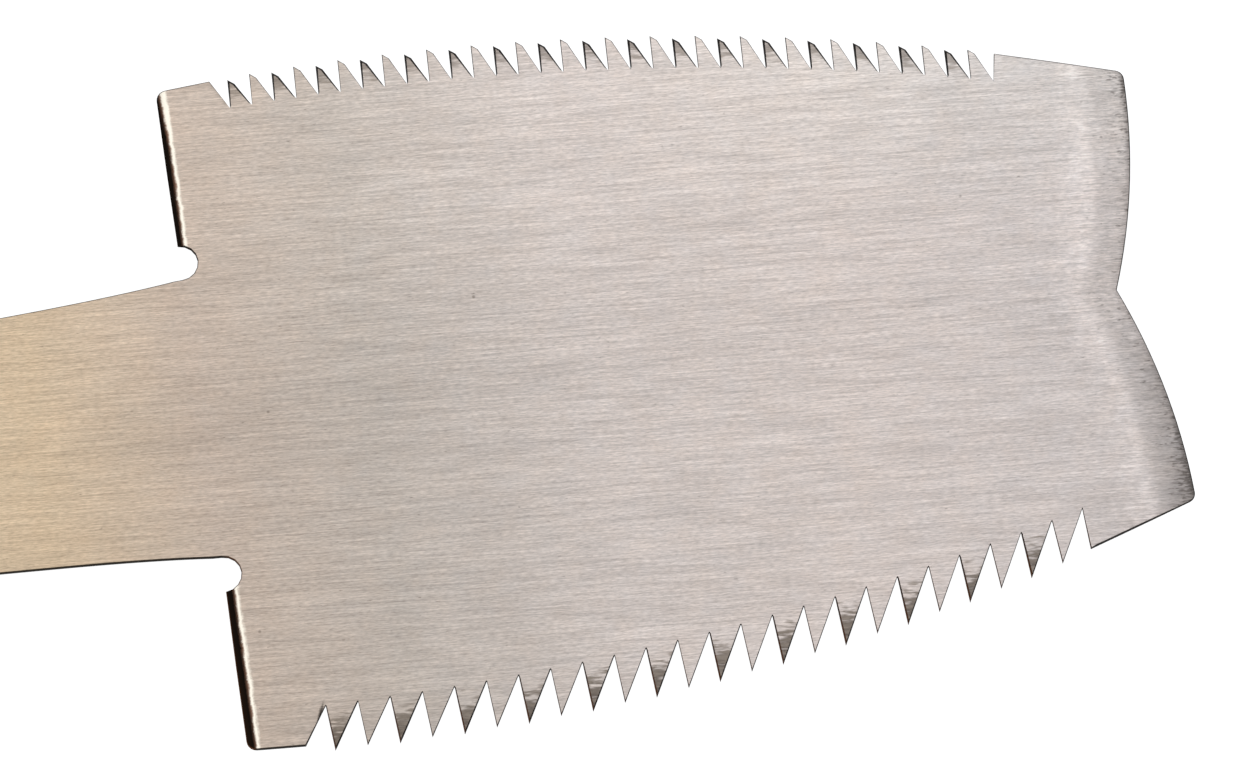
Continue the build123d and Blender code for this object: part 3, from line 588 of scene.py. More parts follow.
def make_blade(material):
    grids, polygons = blade_grids()
    place = np.array([SHOULDER_X, 0, MIDDLE_Z])
    return make_piece(
        "saw_blade", [grid + place for grid in grids], "blade", material, ["blade"],
        [polygon + place for polygon in polygons], blade_marks,
    )


# Cane wrap ----------------------------------------------------------------

FERRULE_WIDTH = 29.0
HANDLE_THICKNESS = 24.0
WAIST_WIDTH = 28.0
WAIST_THICKNESS = 22.4
BUTT_WIDTH = 34.0
WAIST_SHARE = 0.4
WRAP_INSET = 0.2
WRAP_THICKNESS = 1.55
CANE_WIDTH = 3.02
CANE_PITCH = 3.1
CANE_CROWN = 0.62            # from the strip's edges to the top of its round face
CANE_NODE_LENGTH = 118.0     # between the joints of the cane
CANE_NODE_SWELL = 0.13
NODE_SWELL_REACH = 1.6       # along the strip, on each side of a joint
HALF_STRIP = 1.5             # half the strip's width, as the finish lays it out
TURN_STEPS = 56

wrap_low, wrap_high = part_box("cane_wrap")
WRAP_REAR_X = wrap_low.x / MM
WRAP_FRONT_X = wrap_high.x / MM
GRIP_FRONT_X = ferrule_low.x / MM
CAP_FRONT_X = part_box("end_cap")[1].x / MM
WAIST_X = GRIP_FRONT_X - WAIST_SHARE * (GRIP_FRONT_X - CAP_FRONT_X)


def grip_half(x, front, waist, butt):
    """Half size of the grip: the parabola through its three sizes."""
    to_waist = (x - WAIST_X) / (GRIP_FRONT_X - WAIST_X)
    to_butt = (x - WAIST_X) / (CAP_FRONT_X - WAIST_X)
    between = (x - GRIP_FRONT_X) / (CAP_FRONT_X - GRIP_FRONT_X)
    return (waist + (front - waist) * to_waist * (1 - between) + (butt - waist) * to_butt * between) / 2


def grip_halves(x):
    """Half width and half thickness of the grip."""
    half_width = grip_half(x, FERRULE_WIDTH, WAIST_WIDTH, BUTT_WIDTH)
    return half_width, grip_half(x, HANDLE_THICKNESS, WAIST_THICKNESS, HANDLE_THICKNESS)


def cane_length(turns):
    """Length of strip laid after a number of turns, from the grip's mean girth."""
    return turns * pi * (WAIST_WIDTH + WAIST_THICKNESS) / 2


def cane_joints(length):
    """A count that passes a half at each joint: the strip's length over the usual distance
    between joints, plus a sine that makes the distances uneven."""
    share = length / CANE_NODE_LENGTH
    return share + 0.35 * np.sin(1.7 * share)


def make_cane_wrap(material):
    """A flat strip wound round the oval grip as a helix. Its section is a shallow D: the
    face stands on a parabola across the strip and the back is flat. The bands at both
    ends of the wrap trim the strip, so it starts and ends with no width."""
    turns = (WRAP_FRONT_X - WRAP_REAR_X) / CANE_PITCH + 1
    turn = np.linspace(0, turns, int(turns * TURN_STEPS) + 1)[:, None]
    angle = 2 * pi * turn
    middle = WRAP_REAR_X + CANE_PITCH * (turn - 0.5)
    left = np.clip((WRAP_REAR_X - middle) * 2 / CANE_WIDTH, -1, 1)
    right = np.clip((WRAP_FRONT_X - middle) * 2 / CANE_WIDTH, -1, 1)
    share = np.array([[0, 0.02, 0.09, 0.2, 0.35, 0.5, 0.65, 0.8, 0.91, 0.98, 1, 1, 0, 0]])
    on_face = np.array([[1.0] * 11 + [0, 0, 1]])
    across = left + (right - left) * share
    from_joint = (cane_joints(cane_length(turn)) % 1 - 0.5) * CANE_NODE_LENGTH
    swell = CANE_NODE_SWELL * np.exp(-((from_joint / NODE_SWELL_REACH) ** 2)) * (1 - across**2)
    inset = WRAP_INSET + on_face * (CANE_CROWN * across**2 - swell) + (1 - on_face) * WRAP_THICKNESS
    x = middle + across * CANE_WIDTH / 2
    half_y, half_z = grip_halves(x)
    normal_y = np.cos(angle) / half_y
    normal_z = np.sin(angle) / half_z
    length = np.hypot(normal_y, normal_z)
    y = half_y * np.cos(angle) - inset * normal_y / length
    z = half_z * np.sin(angle) - inset * normal_z / length
    strip = np.stack([x, y, z + MIDDLE_Z], -1)
    return make_piece(
        "cane_strip", [strip], "handle", material, ["cane_wrap"], marks=cane_marks, sharp=50.0
    )


def cane_marks(points):
    """Length along the strip in metres, place across it from -1 to 1 and the count of
    joints, from the turn that a point lies on: its angle gives the part turn and its x
    the whole turns."""
    x, y, z = points.T
    half_y, half_z = grip_halves(x)
    part = np.arctan2((z - MIDDLE_Z) / half_z, y / half_y) / (2 * pi)
    wound = (x - WRAP_REAR_X) / CANE_PITCH + 0.5
    turn = part + np.round(wound - part)
    across = (wound - turn) * 2 * CANE_PITCH / CANE_WIDTH
    length = cane_length(turn)
    return {"along": length * MM, "across": across, "joints": cane_joints(length)}


# Finishes -------------------------------------------------------------------

def paint(red, green, blue):
    """Linear colour of a tone given as it looks on a screen, each part from 0 to 255."""
    parts = np.array([red, green, blue]) / 255
    linear = np.where(parts > 0.04045, ((parts + 0.055) / 1.055) ** 2.4, parts / 12.92)
    return (*linear.tolist(), 1.0)


def add_node(tree, kind, inputs=None, **settings):
    """Outputs of a new node with its settings, and with each input either linked or set."""
    made = tree.nodes.new(kind)
    for setting, value in settings.items():
        setattr(made, setting, value)
    for key, value in (inputs or {}).items():
        if isinstance(value, Field):
            tree.links.new(value.socket, made.inputs[key])
        else:
            made.inputs[key].default_value = value
    return made.outputs


def add_field(tree, kind, inputs=None, **settings):
    """What a new node's first output gives."""
    return Field(add_node(tree, kind, inputs, **settings)[0])


class Field:
    """What a node puts out, such as a value or a colour that varies over a surface. Each
    sum or mix of fields adds a node."""

    def __init__(self, socket):
        self.socket = socket
        self.tree = socket.id_data

    def calculate(self, operation, *values):
        return add_field(self.tree, "ShaderNodeMath", dict(enumerate(values)), operation=operation)

    def __add__(self, other):
        return self.calculate("ADD", self, other)

    def __sub__(self, other):
        return self.calculate("SUBTRACT", self, other)

    def __rsub__(self, other):
        return self.calculate("SUBTRACT", other, self)

    def __mul__(self, other):
        return self.calculate("MULTIPLY", self, other)

    def __rtruediv__(self, other):
        return self.calculate("DIVIDE", other, self)

    def __abs__(self):
        return self.calculate("ABSOLUTE", self)

    def fraction(self):
        return self.calculate("FRACT", self)

    def below(self, limit):
        """1 where the value is less than the limit, and 0 elsewhere."""
        return self.calculate("LESS_THAN", self, limit)

    def spread(self, low, high, start=0.0, end=1.0):
        """Values between low and high spread over start to end, and held beyond them."""
        inputs = {"Value": self, "From Min": low, "From Max": high, "To Min": start, "To Max": end}
        return add_field(self.tree, "ShaderNodeMapRange", inputs)

    def mix(self, first, second):
        """Two colours mixed by this value, which is the second one's share."""
        inputs = {0: self, 6: first, 7: second}
        return Field(add_node(self.tree, "ShaderNodeMix", inputs, data_type="RGBA")[2])

    def tinted(self, colour):
        """This colour times another one."""
        inputs = {0: 1.0, 6: self, 7: colour}
        return Field(add_node(self.tree, "ShaderNodeMix", inputs, data_type="RGBA", blend_type="MULTIPLY")[2])

    def shaded(self, level):
        """This colour made lighter or darker by a factor."""
        return self.tinted(add_field(self.tree, "ShaderNodeCombineColor", {0: level, 1: level, 2: level}))

    def ramp(self, *stops):
        """A colour for each value, from stops of a place and a colour."""
        colours = add_node(self.tree, "ShaderNodeValToRGB", {0: self})[0]
        elements = colours.node.color_ramp.elements
        while len(elements) < len(stops):
            elements.new(0.5)
        for element, (place, colour) in zip(elements, stops):
            element.position = place
            element.color = colour
        return Field(colours)

    def noise(self, scale, detail=2.0, roughness=0.5):
        """Soft random values at this place."""
        inputs = {"Vector": self, "Scale": scale, "Detail": detail, "Roughness": roughness}
        return add_field(self.tree, "ShaderNodeTexNoise", inputs)

    def axes(self):
        """The three values of this vector."""
        return [Field(socket) for socket in add_node(self.tree, "ShaderNodeSeparateXYZ", {0: self})]

    def vector_sum(self, operation, *others):
        inputs = dict(enumerate([self, *others]))
        return add_field(self.tree, "ShaderNodeVectorMath", inputs, operation=operation)


def cover(colour, *layers):
    """A colour under layers, each with the share it covers and its own colour."""
    for share, layer in layers:
        colour = share.mix(colour, layer)
    return colour


def new_group(name, output, **values):
    """A node group that takes a vector and named values, with the fields it is given, by
    name, and the socket of its one output."""
    group = bpy.data.node_groups.new(name, "ShaderNodeTree")
    sockets = group.interface
    sockets.new_socket(name="Vector", in_out="INPUT", socket_type="NodeSocketVector")
    for value_name, default in values.items():
        socket = sockets.new_socket(name=value_name, in_out="INPUT", socket_type="NodeSocketFloat")
        socket.default_value = default
    sockets.new_socket(name=output, in_out="OUTPUT", socket_type="NodeSocketFloat")
    given = {socket.name: Field(socket) for socket in group.nodes.new("NodeGroupInput").outputs}
    return group, given, group.nodes.new("NodeGroupOutput").inputs[0]


def brushing_group():
    """Lines left by a wheel or a belt: noise stretched along X after a turn about Z, with
    the length and the width of a line in millimetres."""
    group, given, result = new_group("brushing", "Lines", Length=2.0, Width=0.15, Turn=0.0)
    turn = {"Vector": given["Vector"], "Angle": given["Turn"]}
    turned = add_field(group, "ShaderNodeVectorRotate", turn, rotation_type="Z_AXIS")
    along = 1 / MM / given["Length"]
    across = 1 / MM / given["Width"]
    stretch = add_field(group, "ShaderNodeCombineXYZ", {0: along, 1: across, 2: across})
    lines = turned.vector_sum("MULTIPLY", stretch).noise(1.0, 2.0, 0.6)
    group.links.new(lines.socket, result)
    return group


def specks_group():
    """Small scattered spots: the cores of random cells, most of which stay empty."""
    group, given, result = new_group("specks", "Mask", Spacing=3.0, Size=0.1, Share=0.4)
    spacing = {"Vector": given["Vector"], "Scale": 1 / MM / given["Spacing"]}
    cells = add_node(group, "ShaderNodeTexVoronoi", spacing)
    number = add_field(group, "ShaderNodeSeparateColor", {0: Field(cells["Color"])})
    core = Field(cells["Distance"]).spread(given["Size"] * 0.4, given["Size"], 1.0, 0.0)
    chosen = core * number.below(given["Share"])
    group.links.new(chosen.socket, result)
    return group


def edge_wear_group():
    """Where an edge is rubbed bright: how far the normal rounded over a radius turns from
    the true one, broken up by noise."""
    group, given, result = new_group("edge_wear", "Mask", Radius=0.0004, Breakup=900.0, Strength=6.0)
    rounded = add_field(group, "ShaderNodeBevel", {"Radius": given["Radius"]}, samples=6)
    normals = {0: rounded, 1: Field(add_node(group, "ShaderNodeNewGeometry")["Normal"])}
    alike = Field(add_node(group, "ShaderNodeVectorMath", normals, operation="DOT_PRODUCT")["Value"])
    broken = given["Vector"].noise(given["Breakup"], 3.0, 0.6).spread(0.35, 0.6, 0.35, 1.0)
    rubbed = ((1.0 - alike) * given["Strength"] * broken).spread(0, 1)
    group.links.new(rubbed.socket, result)
    return group


def stain_group():
    """Soft clouds of handling marks and tarnish, from two sizes of noise."""
    group, given, result = new_group("stain", "Mask", Size=12.0, Contrast=1.0)
    scale = 1 / MM / given["Size"]
    coarse = given["Vector"].noise(scale, 4.0, 0.62)
    fine = given["Vector"].noise(scale * 7.0)
    clouds = (coarse * 0.75 + fine * 0.25 - 0.5) * given["Contrast"] + 0.5
    group.links.new(clouds.spread(0, 1).socket, result)
    return group


BRUSHING = brushing_group()
SPECKS = specks_group()
EDGE_WEAR = edge_wear_group()
STAIN = stain_group()
BRUSH_TURN = radians(3.85)   # the blade's grinding lines lean towards the rip edge


class Finish:
    """A material with a Principled shader, whose constants are set on its own sockets."""

    def __init__(self, name, **constants):
        self.material = bpy.data.materials.new(name)
        self.material.use_nodes = True
        self.tree = self.material.node_tree
        self.tree.nodes.clear()
        shader = self.tree.nodes.new("ShaderNodeBsdfPrincipled")
        output = self.tree.nodes.new("ShaderNodeOutputMaterial")
        self.tree.links.new(shader.outputs[0], output.inputs[0])
        self.sockets = shader.inputs
        for socket, value in constants.items():
            self.sockets[socket.replace("_", " ")].default_value = value
        self.place = Field(add_node(self.tree, "ShaderNodeTexCoord")["Object"])

    def use(self, group, **values):
        """What a node group puts out with these values, at the place on the object."""
        inputs = {"Vector": self.place, **values}
        return add_field(self.tree, "ShaderNodeGroup", inputs, node_tree=group)

    def mark(self, name):
        """A value that the mesh carries."""
        return Field(add_node(self.tree, "ShaderNodeAttribute", attribute_name=name)["Fac"])

    def complete(self, colour, roughness, relief, height, strength, **others):
        """The material, with small relief that is as high as the height, in metres."""
        bump = {"Height": relief, "Distance": height, "Strength": strength}
        others["Normal"] = add_field(self.tree, "ShaderNodeBump", bump)
        for socket, field in {"Base_Color": colour, "Roughness": roughness, **others}.items():
            self.tree.links.new(field.socket, self.sockets[socket.replace("_", " ")])
        return self.material


# Painted reflection: tones along the blade, warm at the neck and paler at the head, stand in for the light
# the steel reflects
BLADE_REFLECTION_TONES = (              # along the blade, from the neck to the toe
    (0.0, paint(200, 180, 151)),
    (0.22, paint(196, 176, 150)),
    (0.33, paint(186, 171, 158)),
    (0.45, paint(183, 174, 166)),
    (0.6, paint(201, 192, 187)),
    (0.78, paint(210, 200, 195)),
    (0.92, paint(209, 201, 198)),
    (1.0, paint(209, 201, 198)),
)
# Painted shading: the blade darker towards the rip edge and lighter towards the crosscut edge
BLADE_SIDE_SHADE = (0.94, 1.07)              # at the rip edge and at the crosscut edge
BLADE_LINES = (              # length and width of a line in millimetres, and its contrast
    (0.6, 0.1, 0.28),
    (6.0, 0.3, 0.07),
    (38.0, 2.6, 0.05),
    (4.5, 0.13, 0.21),
)
TONED_NECK = 40.0            # the tones start this far behind the shoulders


def saw_steel():
    """Ground spring steel: fine lines along the blade, a warm neck and a paler head that are a
    painted reflection, a ground strip at the toe with a painted highlight and painted shade,
    rolled shoulders with a painted highlight and painted shade, teeth bent down that are
    darker towards their tips, and painted shade on bevels and rims."""
    steel = Finish("saw_steel", Metallic=1.0, Anisotropic=0.55, Anisotropic_Rotation=0.25)
    x, y, _ = steel.place.axes()
    from_middle = abs(y)
    on_rip = y.below(0.0)
    along = x.spread((SHOULDER_X - TONED_NECK) * MM, (SHOULDER_X + HEAD_LENGTH) * MM)
    # Painted shading across the blade, darker at the rip edge
    level = y.spread(-HEAD_WIDTH / 2 * MM, HEAD_WIDTH / 2 * MM, *BLADE_SIDE_SHADE)
    lines = []
    for length, width, contrast in BLADE_LINES:
        lines.append(steel.use(BRUSHING, Length=length, Width=width, Turn=BRUSH_TURN))
        level = level * lines[-1].spread(0.25, 0.75, 1 - contrast, 1 + contrast)
    warm = steel.use(STAIN, Size=2.4, Contrast=2.4)
    tint = warm.mix((1.02, 0.995, 0.975, 1), (0.985, 1.0, 1.02, 1))

    # Toe grind: a painted highlight line where it starts and painted shade on its blotched outer edge,
    # standing in for the strip's reflections
    ground = steel.mark("ground")
    blotch = steel.use(STAIN, Size=1.6, Contrast=2.0)
    in_strip = ground.spread(0.0, 0.12)
    straighter = from_middle.spread(0.004, 0.015, -0.07, 0.05)
    reach = ground + straighter + in_strip * blotch.spread(0, 1, -0.09, 0.09)
    rip_side = y.spread(0.012, -0.016)
    # Painted shade on the grind's outer edge
    dull = reach.spread(0.5, 0.9) * rip_side.spread(0, 1, -0.06, 0.34)
    dull = dull * from_middle.spread(0.001, 0.007, 0.1, 1.0)
    # Painted highlight where the grind starts
    bright = reach.spread(0.04, 0.42) * reach.spread(0.46, 0.62, 1.0, 0.0)
    bright = bright * rip_side.spread(0, 1, 0.24, 0.18)
    mottle = in_strip * blotch.spread(0, 1, 0.88, 1.12) + (1.0 - in_strip)
    level = level * (bright - dull + mottle)

    # Pits caught in the lines along the toe's edge, most at its corners, and painted shade in a blotched line
    # along the toe's rim
    pit_lines = steel.use(BRUSHING, Length=0.8, Width=0.22, Turn=BRUSH_TURN)
    near_edge = ground.spread(0.6, 1.0) * rip_side.spread(0, 1, 0.24, 0.33)
    near_edge = near_edge * from_middle.spread(0.007, 0.0185, 0.35, 1.0)
    pits = (pit_lines + near_edge).spread(0.68, 0.8, 0.0, 0.6)
    # Painted shade along the toe's rim
    toe_rim_shade = ground.spread(0.93, 1.0) * from_middle.spread(0.004, 0.017)
    toe_rim_shade = toe_rim_shade * blotch.spread(0.2, 0.8, 0.25, 0.95)

    # Shoulders: a painted highlight line beside painted shade on the rolled rim, narrower near the heel's
    # corner
    rolled = steel.mark("rolled")
    uneven = steel.use(STAIN, Size=1.1, Contrast=2.8)
    ragged = rolled + rolled.spread(0.0, 0.2) * uneven.spread(0, 1, -0.08, 0.08) + on_rip * 0.13
    roll_highlight = ragged.spread(0.26, 0.4)
    ragged = ragged - y.spread(0.0235, 0.0285, 0.0, 0.22)
    roll_highlight = roll_highlight * ragged.spread(0.46, 0.58, 1.0, 0.0) * 0.8
    roll_shade_brown = uneven.spread(0.3, 0.8).mix(paint(58, 42, 32), paint(148, 112, 92))
    roll_shade = ragged.spread(0.5, 0.62)
    roll_shade_tone = ragged.spread(0.58, 0.74).mix(roll_shade_brown, paint(24, 19, 15))

    # Teeth bent down are darker and duller, with coarse lines, towards their tips
    bent = steel.mark("bent")
    file_lines = steel.use(BRUSHING, Length=1.7, Width=0.3, Turn=0.1)
    patchy = bent + bent.spread(0.0, 0.1) * file_lines.spread(0.3, 0.7, -0.34, 0.34)
    darker_tips = patchy.spread(0.3, 0.6) * on_rip.spread(0, 1, 0.5, 0.8)
    darker_tips_tone = file_lines.spread(0.35, 0.65).mix(paint(82, 70, 60), paint(158, 146, 134))

    # Painted shade: bevels and rims, which turn away from the faces, are painted dark, and rip fronts get a
    # painted brown reflection
    facing = Field(add_node(steel.tree, "ShaderNodeTexCoord")["Normal"]).axes()
    turned_away_shade = abs(facing[2]).spread(0.99, 0.9)
    brown_front_reflection = facing[0].spread(-0.15, -0.5) * on_rip
    turned_away_shade_tone = brown_front_reflection.mix(paint(38, 30, 24), paint(120, 76, 46))

    specks = steel.use(SPECKS, Spacing=2.6, Size=0.07, Share=0.3)
    # Painted reflection: a paler, cooler tint on the crosscut side of the toe's half
    pale = along.spread(0.62, 0.82) * y.spread(0.008, 0.024)
    tone = along.ramp(*BLADE_REFLECTION_TONES)
    tone = pale.mix(tone, tone.tinted((1.01, 1.04, 1.035, 1)))
    colour = cover(
        tone.tinted(tint).shaded(level),
        (pits, paint(78, 70, 64)),
        (toe_rim_shade, paint(62, 56, 52)),
        (darker_tips, darker_tips_tone),
        # Painted highlight and painted shade of the rolled shoulders
        (roll_highlight, paint(255, 250, 236)),
        (roll_shade, roll_shade_tone),
        # Painted shade on bevels and rims
        (turned_away_shade * 0.93, turned_away_shade_tone),
        (specks * 0.55, paint(96, 86, 78)),
    )
    rough = lines[0].spread(0.2, 0.8, 0.3, 0.42) + roll_shade * 0.2 + darker_tips * 0.3
    return steel.complete(colour, rough, lines[0] + lines[1] * 1.5, 0.000003, 0.35)


def folded_steel():
    """Bright-plated folded sheet: faint lines along the fold, rubbed edges, stains."""
    sheet = Finish("folded_steel", Metallic=1.0)
    lines = sheet.use(BRUSHING, Length=14.0, Width=0.2)
    stain = sheet.use(STAIN, Size=7.0, Contrast=1.6)
    wear = sheet.use(EDGE_WEAR, Radius=0.0005, Breakup=1500.0, Strength=5.0)
    specks = sheet.use(SPECKS, Spacing=2.2, Size=0.09, Share=0.4)
    tone = stain.ramp((0.2, paint(168, 168, 166)), (0.55, paint(193, 194, 193)), (0.85, paint(208, 207, 203)))
    tone = tone.shaded(lines.spread(0.3, 0.7, 0.9, 1.08))
    colour = cover(tone, (wear, paint(232, 231, 227)), (specks * 0.6, paint(110, 104, 96)))
    return sheet.complete(colour, stain.spread(0.2, 0.8, 0.24, 0.38) - wear * 0.08, lines, 0.000006, 0.4)


def turned_metal(name, dark, light, worn, rough=0.3, edge=0.00035, stain_size=5.0):
    """Plated or brass small parts: clouded tone, rubbed edges, dirt specks and fine lines."""
    metal = Finish(name, Metallic=1.0)
    stain = metal.use(STAIN, Size=stain_size, Contrast=2.0)
    wear = metal.use(EDGE_WEAR, Radius=edge, Breakup=1800.0, Strength=5.0)
    specks = metal.use(SPECKS, Spacing=1.4, Size=0.12, Share=0.45)
    lines = metal.use(BRUSHING, Length=3.0, Width=0.1)
    tone = stain.ramp((0.2, dark), (0.75, light)).shaded(lines.spread(0.3, 0.7, 0.92, 1.06))
    colour = cover(tone, (wear, worn), (specks * 0.5, dark))
    roughness = stain.spread(0.2, 0.8, rough + 0.08, rough - 0.06) - wear * 0.08
    return metal.complete(colour, roughness, lines + stain, 0.000006, 0.4)


def black_spring_steel():
    """Oiled black oxide with rubbed brown edges."""
    steel = Finish("black_spring_steel", Metallic=1.0)
    stain = steel.use(STAIN, Size=2.0, Contrast=2.0)
    wear = steel.use(EDGE_WEAR, Radius=0.0002, Breakup=2500.0, Strength=5.0)
    tone = stain.ramp((0.2, paint(40, 39, 40)), (0.8, paint(74, 71, 68)))
    colour = wear.mix(tone, paint(150, 142, 132))
    return steel.complete(colour, stain.spread(0.2, 0.8, 0.5, 0.36), stain, 0.00001, 0.4)


def handle_wood():
    """Pale oiled hardwood: growth bands along the handle, fine dark pores, a thin glue
    line where the halves meet, and handling stains."""
    wood = Finish("handle_wood", Coat_Roughness=0.35)
    stretched = wood.place.vector_sum("MULTIPLY", (9.0, 150.0, 190.0))
    coarse = {"Vector": wood.place, "Scale": 22.0, "Detail": 2.0}
    sway = Field(add_node(wood.tree, "ShaderNodeTexNoise", coarse)["Color"])
    bands = sway.vector_sum("MULTIPLY_ADD", (0.9, 0.9, 0.9), stretched).noise(1.0, 3.0, 0.55)
    late = (bands * 7.0).fraction().spread(0.45, 1.0)
    pores = wood.use(BRUSHING, Length=2.6, Width=0.14)
    pore_mask = pores.spread(0.38, 0.26)
    fibres = wood.use(BRUSHING, Length=9.0, Width=0.35)
    stain = wood.use(STAIN, Size=16.0, Contrast=1.8)
    glue = abs(wood.place.axes()[2] - MIDDLE_Z * MM).spread(0.00006, 0.00016, 0.7, 0.0)
    tone = late.ramp((0.0, paint(214, 176, 124)), (0.55, paint(200, 156, 102)), (1.0, paint(170, 120, 72)))
    colour = cover(
        tone.shaded(fibres.spread(0.3, 0.7, 0.88, 1.08)),
        (pore_mask * 0.6, paint(112, 72, 38)),
        (stain.spread(0.45, 0.9, 0.0, 0.4), paint(150, 104, 60)),
        (glue, paint(92, 60, 34)),
    )
    rough = pores.spread(0.25, 0.7, 0.62, 0.42)
    oil = stain.spread(0.3, 0.8, 0.08, 0.3)
    return wood.complete(colour, rough, fibres - pore_mask - glue, 0.00005, 0.5, Coat_Weight=oil)


def cane():
    """Split rattan: glossy golden skin with fine fibres along the strip, pale or brown
    lengths, dark rings at the joints of the cane, and dull cut edges with painted shade
    where they turn into the grooves between turns."""
    skin = Finish("cane", Coat_Roughness=0.22)
    across = skin.mark("across")
    strip = {0: skin.mark("along"), 1: across * (HALF_STRIP * MM)}
    laid = add_field(skin.tree, "ShaderNodeCombineXYZ", strip)
    fibres = skin.use(BRUSHING, Vector=laid, Length=7.0, Width=0.12)
    lengths = laid.noise(24.0, 3.0, 0.6)
    stain = skin.use(STAIN, Size=18.0, Contrast=1.9)
    from_node = abs(skin.mark("joints").fraction() - 0.5)
    ring = from_node.spread(0.004, 0.011, 1.0, 0.0)
    # Painted shade, with a duller coat: the strip's edges darker where they turn down into the grooves
    # between turns
    edge = abs(across).spread(0.72, 1.0)
    tone = lengths.ramp((0.3, paint(170, 118, 60)), (0.5, paint(203, 154, 88)), (0.68, paint(222, 182, 118)))
    colour = cover(
        tone.shaded(fibres.spread(0.3, 0.7, 0.84, 1.1)),
        (stain.spread(0.5, 0.95, 0.0, 0.45), paint(132, 84, 42)),
        (from_node.spread(0.01, 0.07, 0.5, 0.0), paint(160, 110, 58)),
        (ring * 0.85, paint(78, 48, 24)),
        (edge * 0.7, paint(120, 78, 40)),
    )
    rough = lengths.spread(0.3, 0.7, 0.5, 0.36)
    gloss = edge.spread(0, 1, 0.55, 0.05)
    return skin.complete(colour, rough, fibres - ring, 0.00004, 0.5, Coat_Weight=gloss)


def black_plastic(name, tone, grain_size, rough):
    """Moulded black plastic: fine leathery grain, greyed edges, scattered dust specks."""
    plastic = Finish(name, IOR=1.49)
    cells = {"Vector": plastic.place, "Scale": 1 / (grain_size * MM)}
    grain = Field(add_node(plastic.tree, "ShaderNodeTexVoronoi", cells, feature="SMOOTH_F1")["Distance"])
    stain = plastic.use(STAIN, Size=9.0, Contrast=1.8)
    wear = plastic.use(EDGE_WEAR, Radius=0.0006, Breakup=1200.0, Strength=4.0)
    specks = plastic.use(SPECKS, Spacing=2.0, Size=0.06, Share=0.3)
    light = (*(part * 1.9 for part in tone[:3]), 1.0)
    colour = stain.mix(tone, light)
    colour = cover(colour, (wear * 0.55, paint(96, 94, 90)), (specks * 0.5, paint(140, 136, 128)))
    roughness = stain.spread(0.2, 0.8, rough + 0.08, rough - 0.05)
    return plastic.complete(colour, roughness, grain, 0.00006, 0.35)


# Pieces -----------------------------------------------------------------------

ZINC = (paint(150, 150, 152), paint(192, 192, 192), paint(224, 224, 222))
BRASS = (paint(150, 112, 54), paint(214, 176, 96), paint(244, 216, 146))
DULL_BRASS = (paint(132, 98, 50), paint(196, 158, 88), paint(232, 202, 134))


def dress_nodes():
    """Gives each CAD node that stays in view its finish."""
    zinc = turned_metal("zinc_plate", *ZINC, rough=0.32)
    wood = handle_wood()
    ferrule = turned_metal("ferrule_brass", *DULL_BRASS, rough=0.3, stain_size=9.0)
    finishes = {
        "blade_holder": folded_steel(),
        "hook_pin": zinc,
        "clamp_nut": zinc,
        "clamp_washer": zinc,
        "holder_dowels": zinc,
        "cap_screw": zinc,
        "screw_retainer": black_spring_steel(),
        "clamp_screw": turned_metal("knurled_brass", *BRASS, rough=0.26, edge=0.00018),
        "front_ferrule": ferrule,
        "ferrule_brads": ferrule,
        "hang_eyelet": turned_metal("eyelet_brass", *BRASS, rough=0.28, edge=0.0003),
        "handle_half_upper": wood,
        "handle_half_lower": wood,
        "wrap_band_front": black_plastic("band_plastic", paint(30, 29, 30), 0.3, 0.36),
        "wrap_band_rear": black_plastic("band_plastic_rear", paint(30, 29, 30), 0.3, 0.36),
        "end_cap": black_plastic("cap_plastic", paint(33, 32, 33), 0.45, 0.46),
    }
    for node, material in finishes.items():
        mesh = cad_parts[node].data
        mesh.materials.clear()
        mesh.materials.append(material)


# Camera, lights and floor -------------------------------------------------------

CAMERA_PLACE = (0.685, -198.77, 704.36)      # from the middle of the shoulder line
CAMERA_AIM = (34.94, -2.48, 0.0)
CAMERA_ROLL = -0.1527
CAMERA_LENS = 254.87


def place_camera():
    """A long lens that looks down on the head, rolled so that the toe points up a little."""
    origin = Vector((SHOULDER_X, 0, MIDDLE_Z))
    eye = origin + Vector(CAMERA_PLACE)
    ahead = (origin + Vector(CAMERA_AIM) - eye).normalized()
    right = ahead.cross(Vector((0, 1, 0))).normalized()
    up = right.cross(ahead)
    turned_right = right * cos(CAMERA_ROLL) + up * sin(CAMERA_ROLL)
    turned_up = up * cos(CAMERA_ROLL) - right * sin(CAMERA_ROLL)
    camera_data = bpy.data.cameras.new("bench_camera")
    camera_data.lens = CAMERA_LENS
    camera_data.sensor_width = 36.0
    camera_data.clip_end = 100.0
    camera = bpy.data.objects.new("bench_camera", camera_data)
    turn = Matrix((turned_right, turned_up, -ahead)).transposed().to_4x4()
    camera.matrix_world = Matrix.Translation(eye * MM) @ turn
    bpy.context.scene.collection.objects.link(camera)
    bpy.context.scene.camera = camera


def place_soft_box(name, middle, target, width, depth, brightness):
    """A rectangular lamp that faces a target. Its power follows from its size, so the
    brightness is that of its face."""
    lamp = bpy.data.lights.new(name, "AREA")
    lamp.shape = "RECTANGLE"
    lamp.size = width
    lamp.size_y = depth
    lamp.energy = brightness * pi * width * depth
    box = bpy.data.objects.new(name, lamp)
    facing = (Vector(target) - Vector(middle)).to_track_quat("-Z", "Y")
    box.matrix_world = Matrix.Translation(Vector(middle)) @ facing.to_matrix().to_4x4()
    box.visible_camera = False
    bpy.context.scene.collection.objects.link(box)


def background(tree, colour, strength):
    return add_field(tree, "ShaderNodeBackground", {"Color": colour, "Strength": strength})


def choose(share, first, second):
    """Two shaders mixed by a field."""
    return add_field(share.tree, "ShaderNodeMixShader", {0: share, 1: first, 2: second})


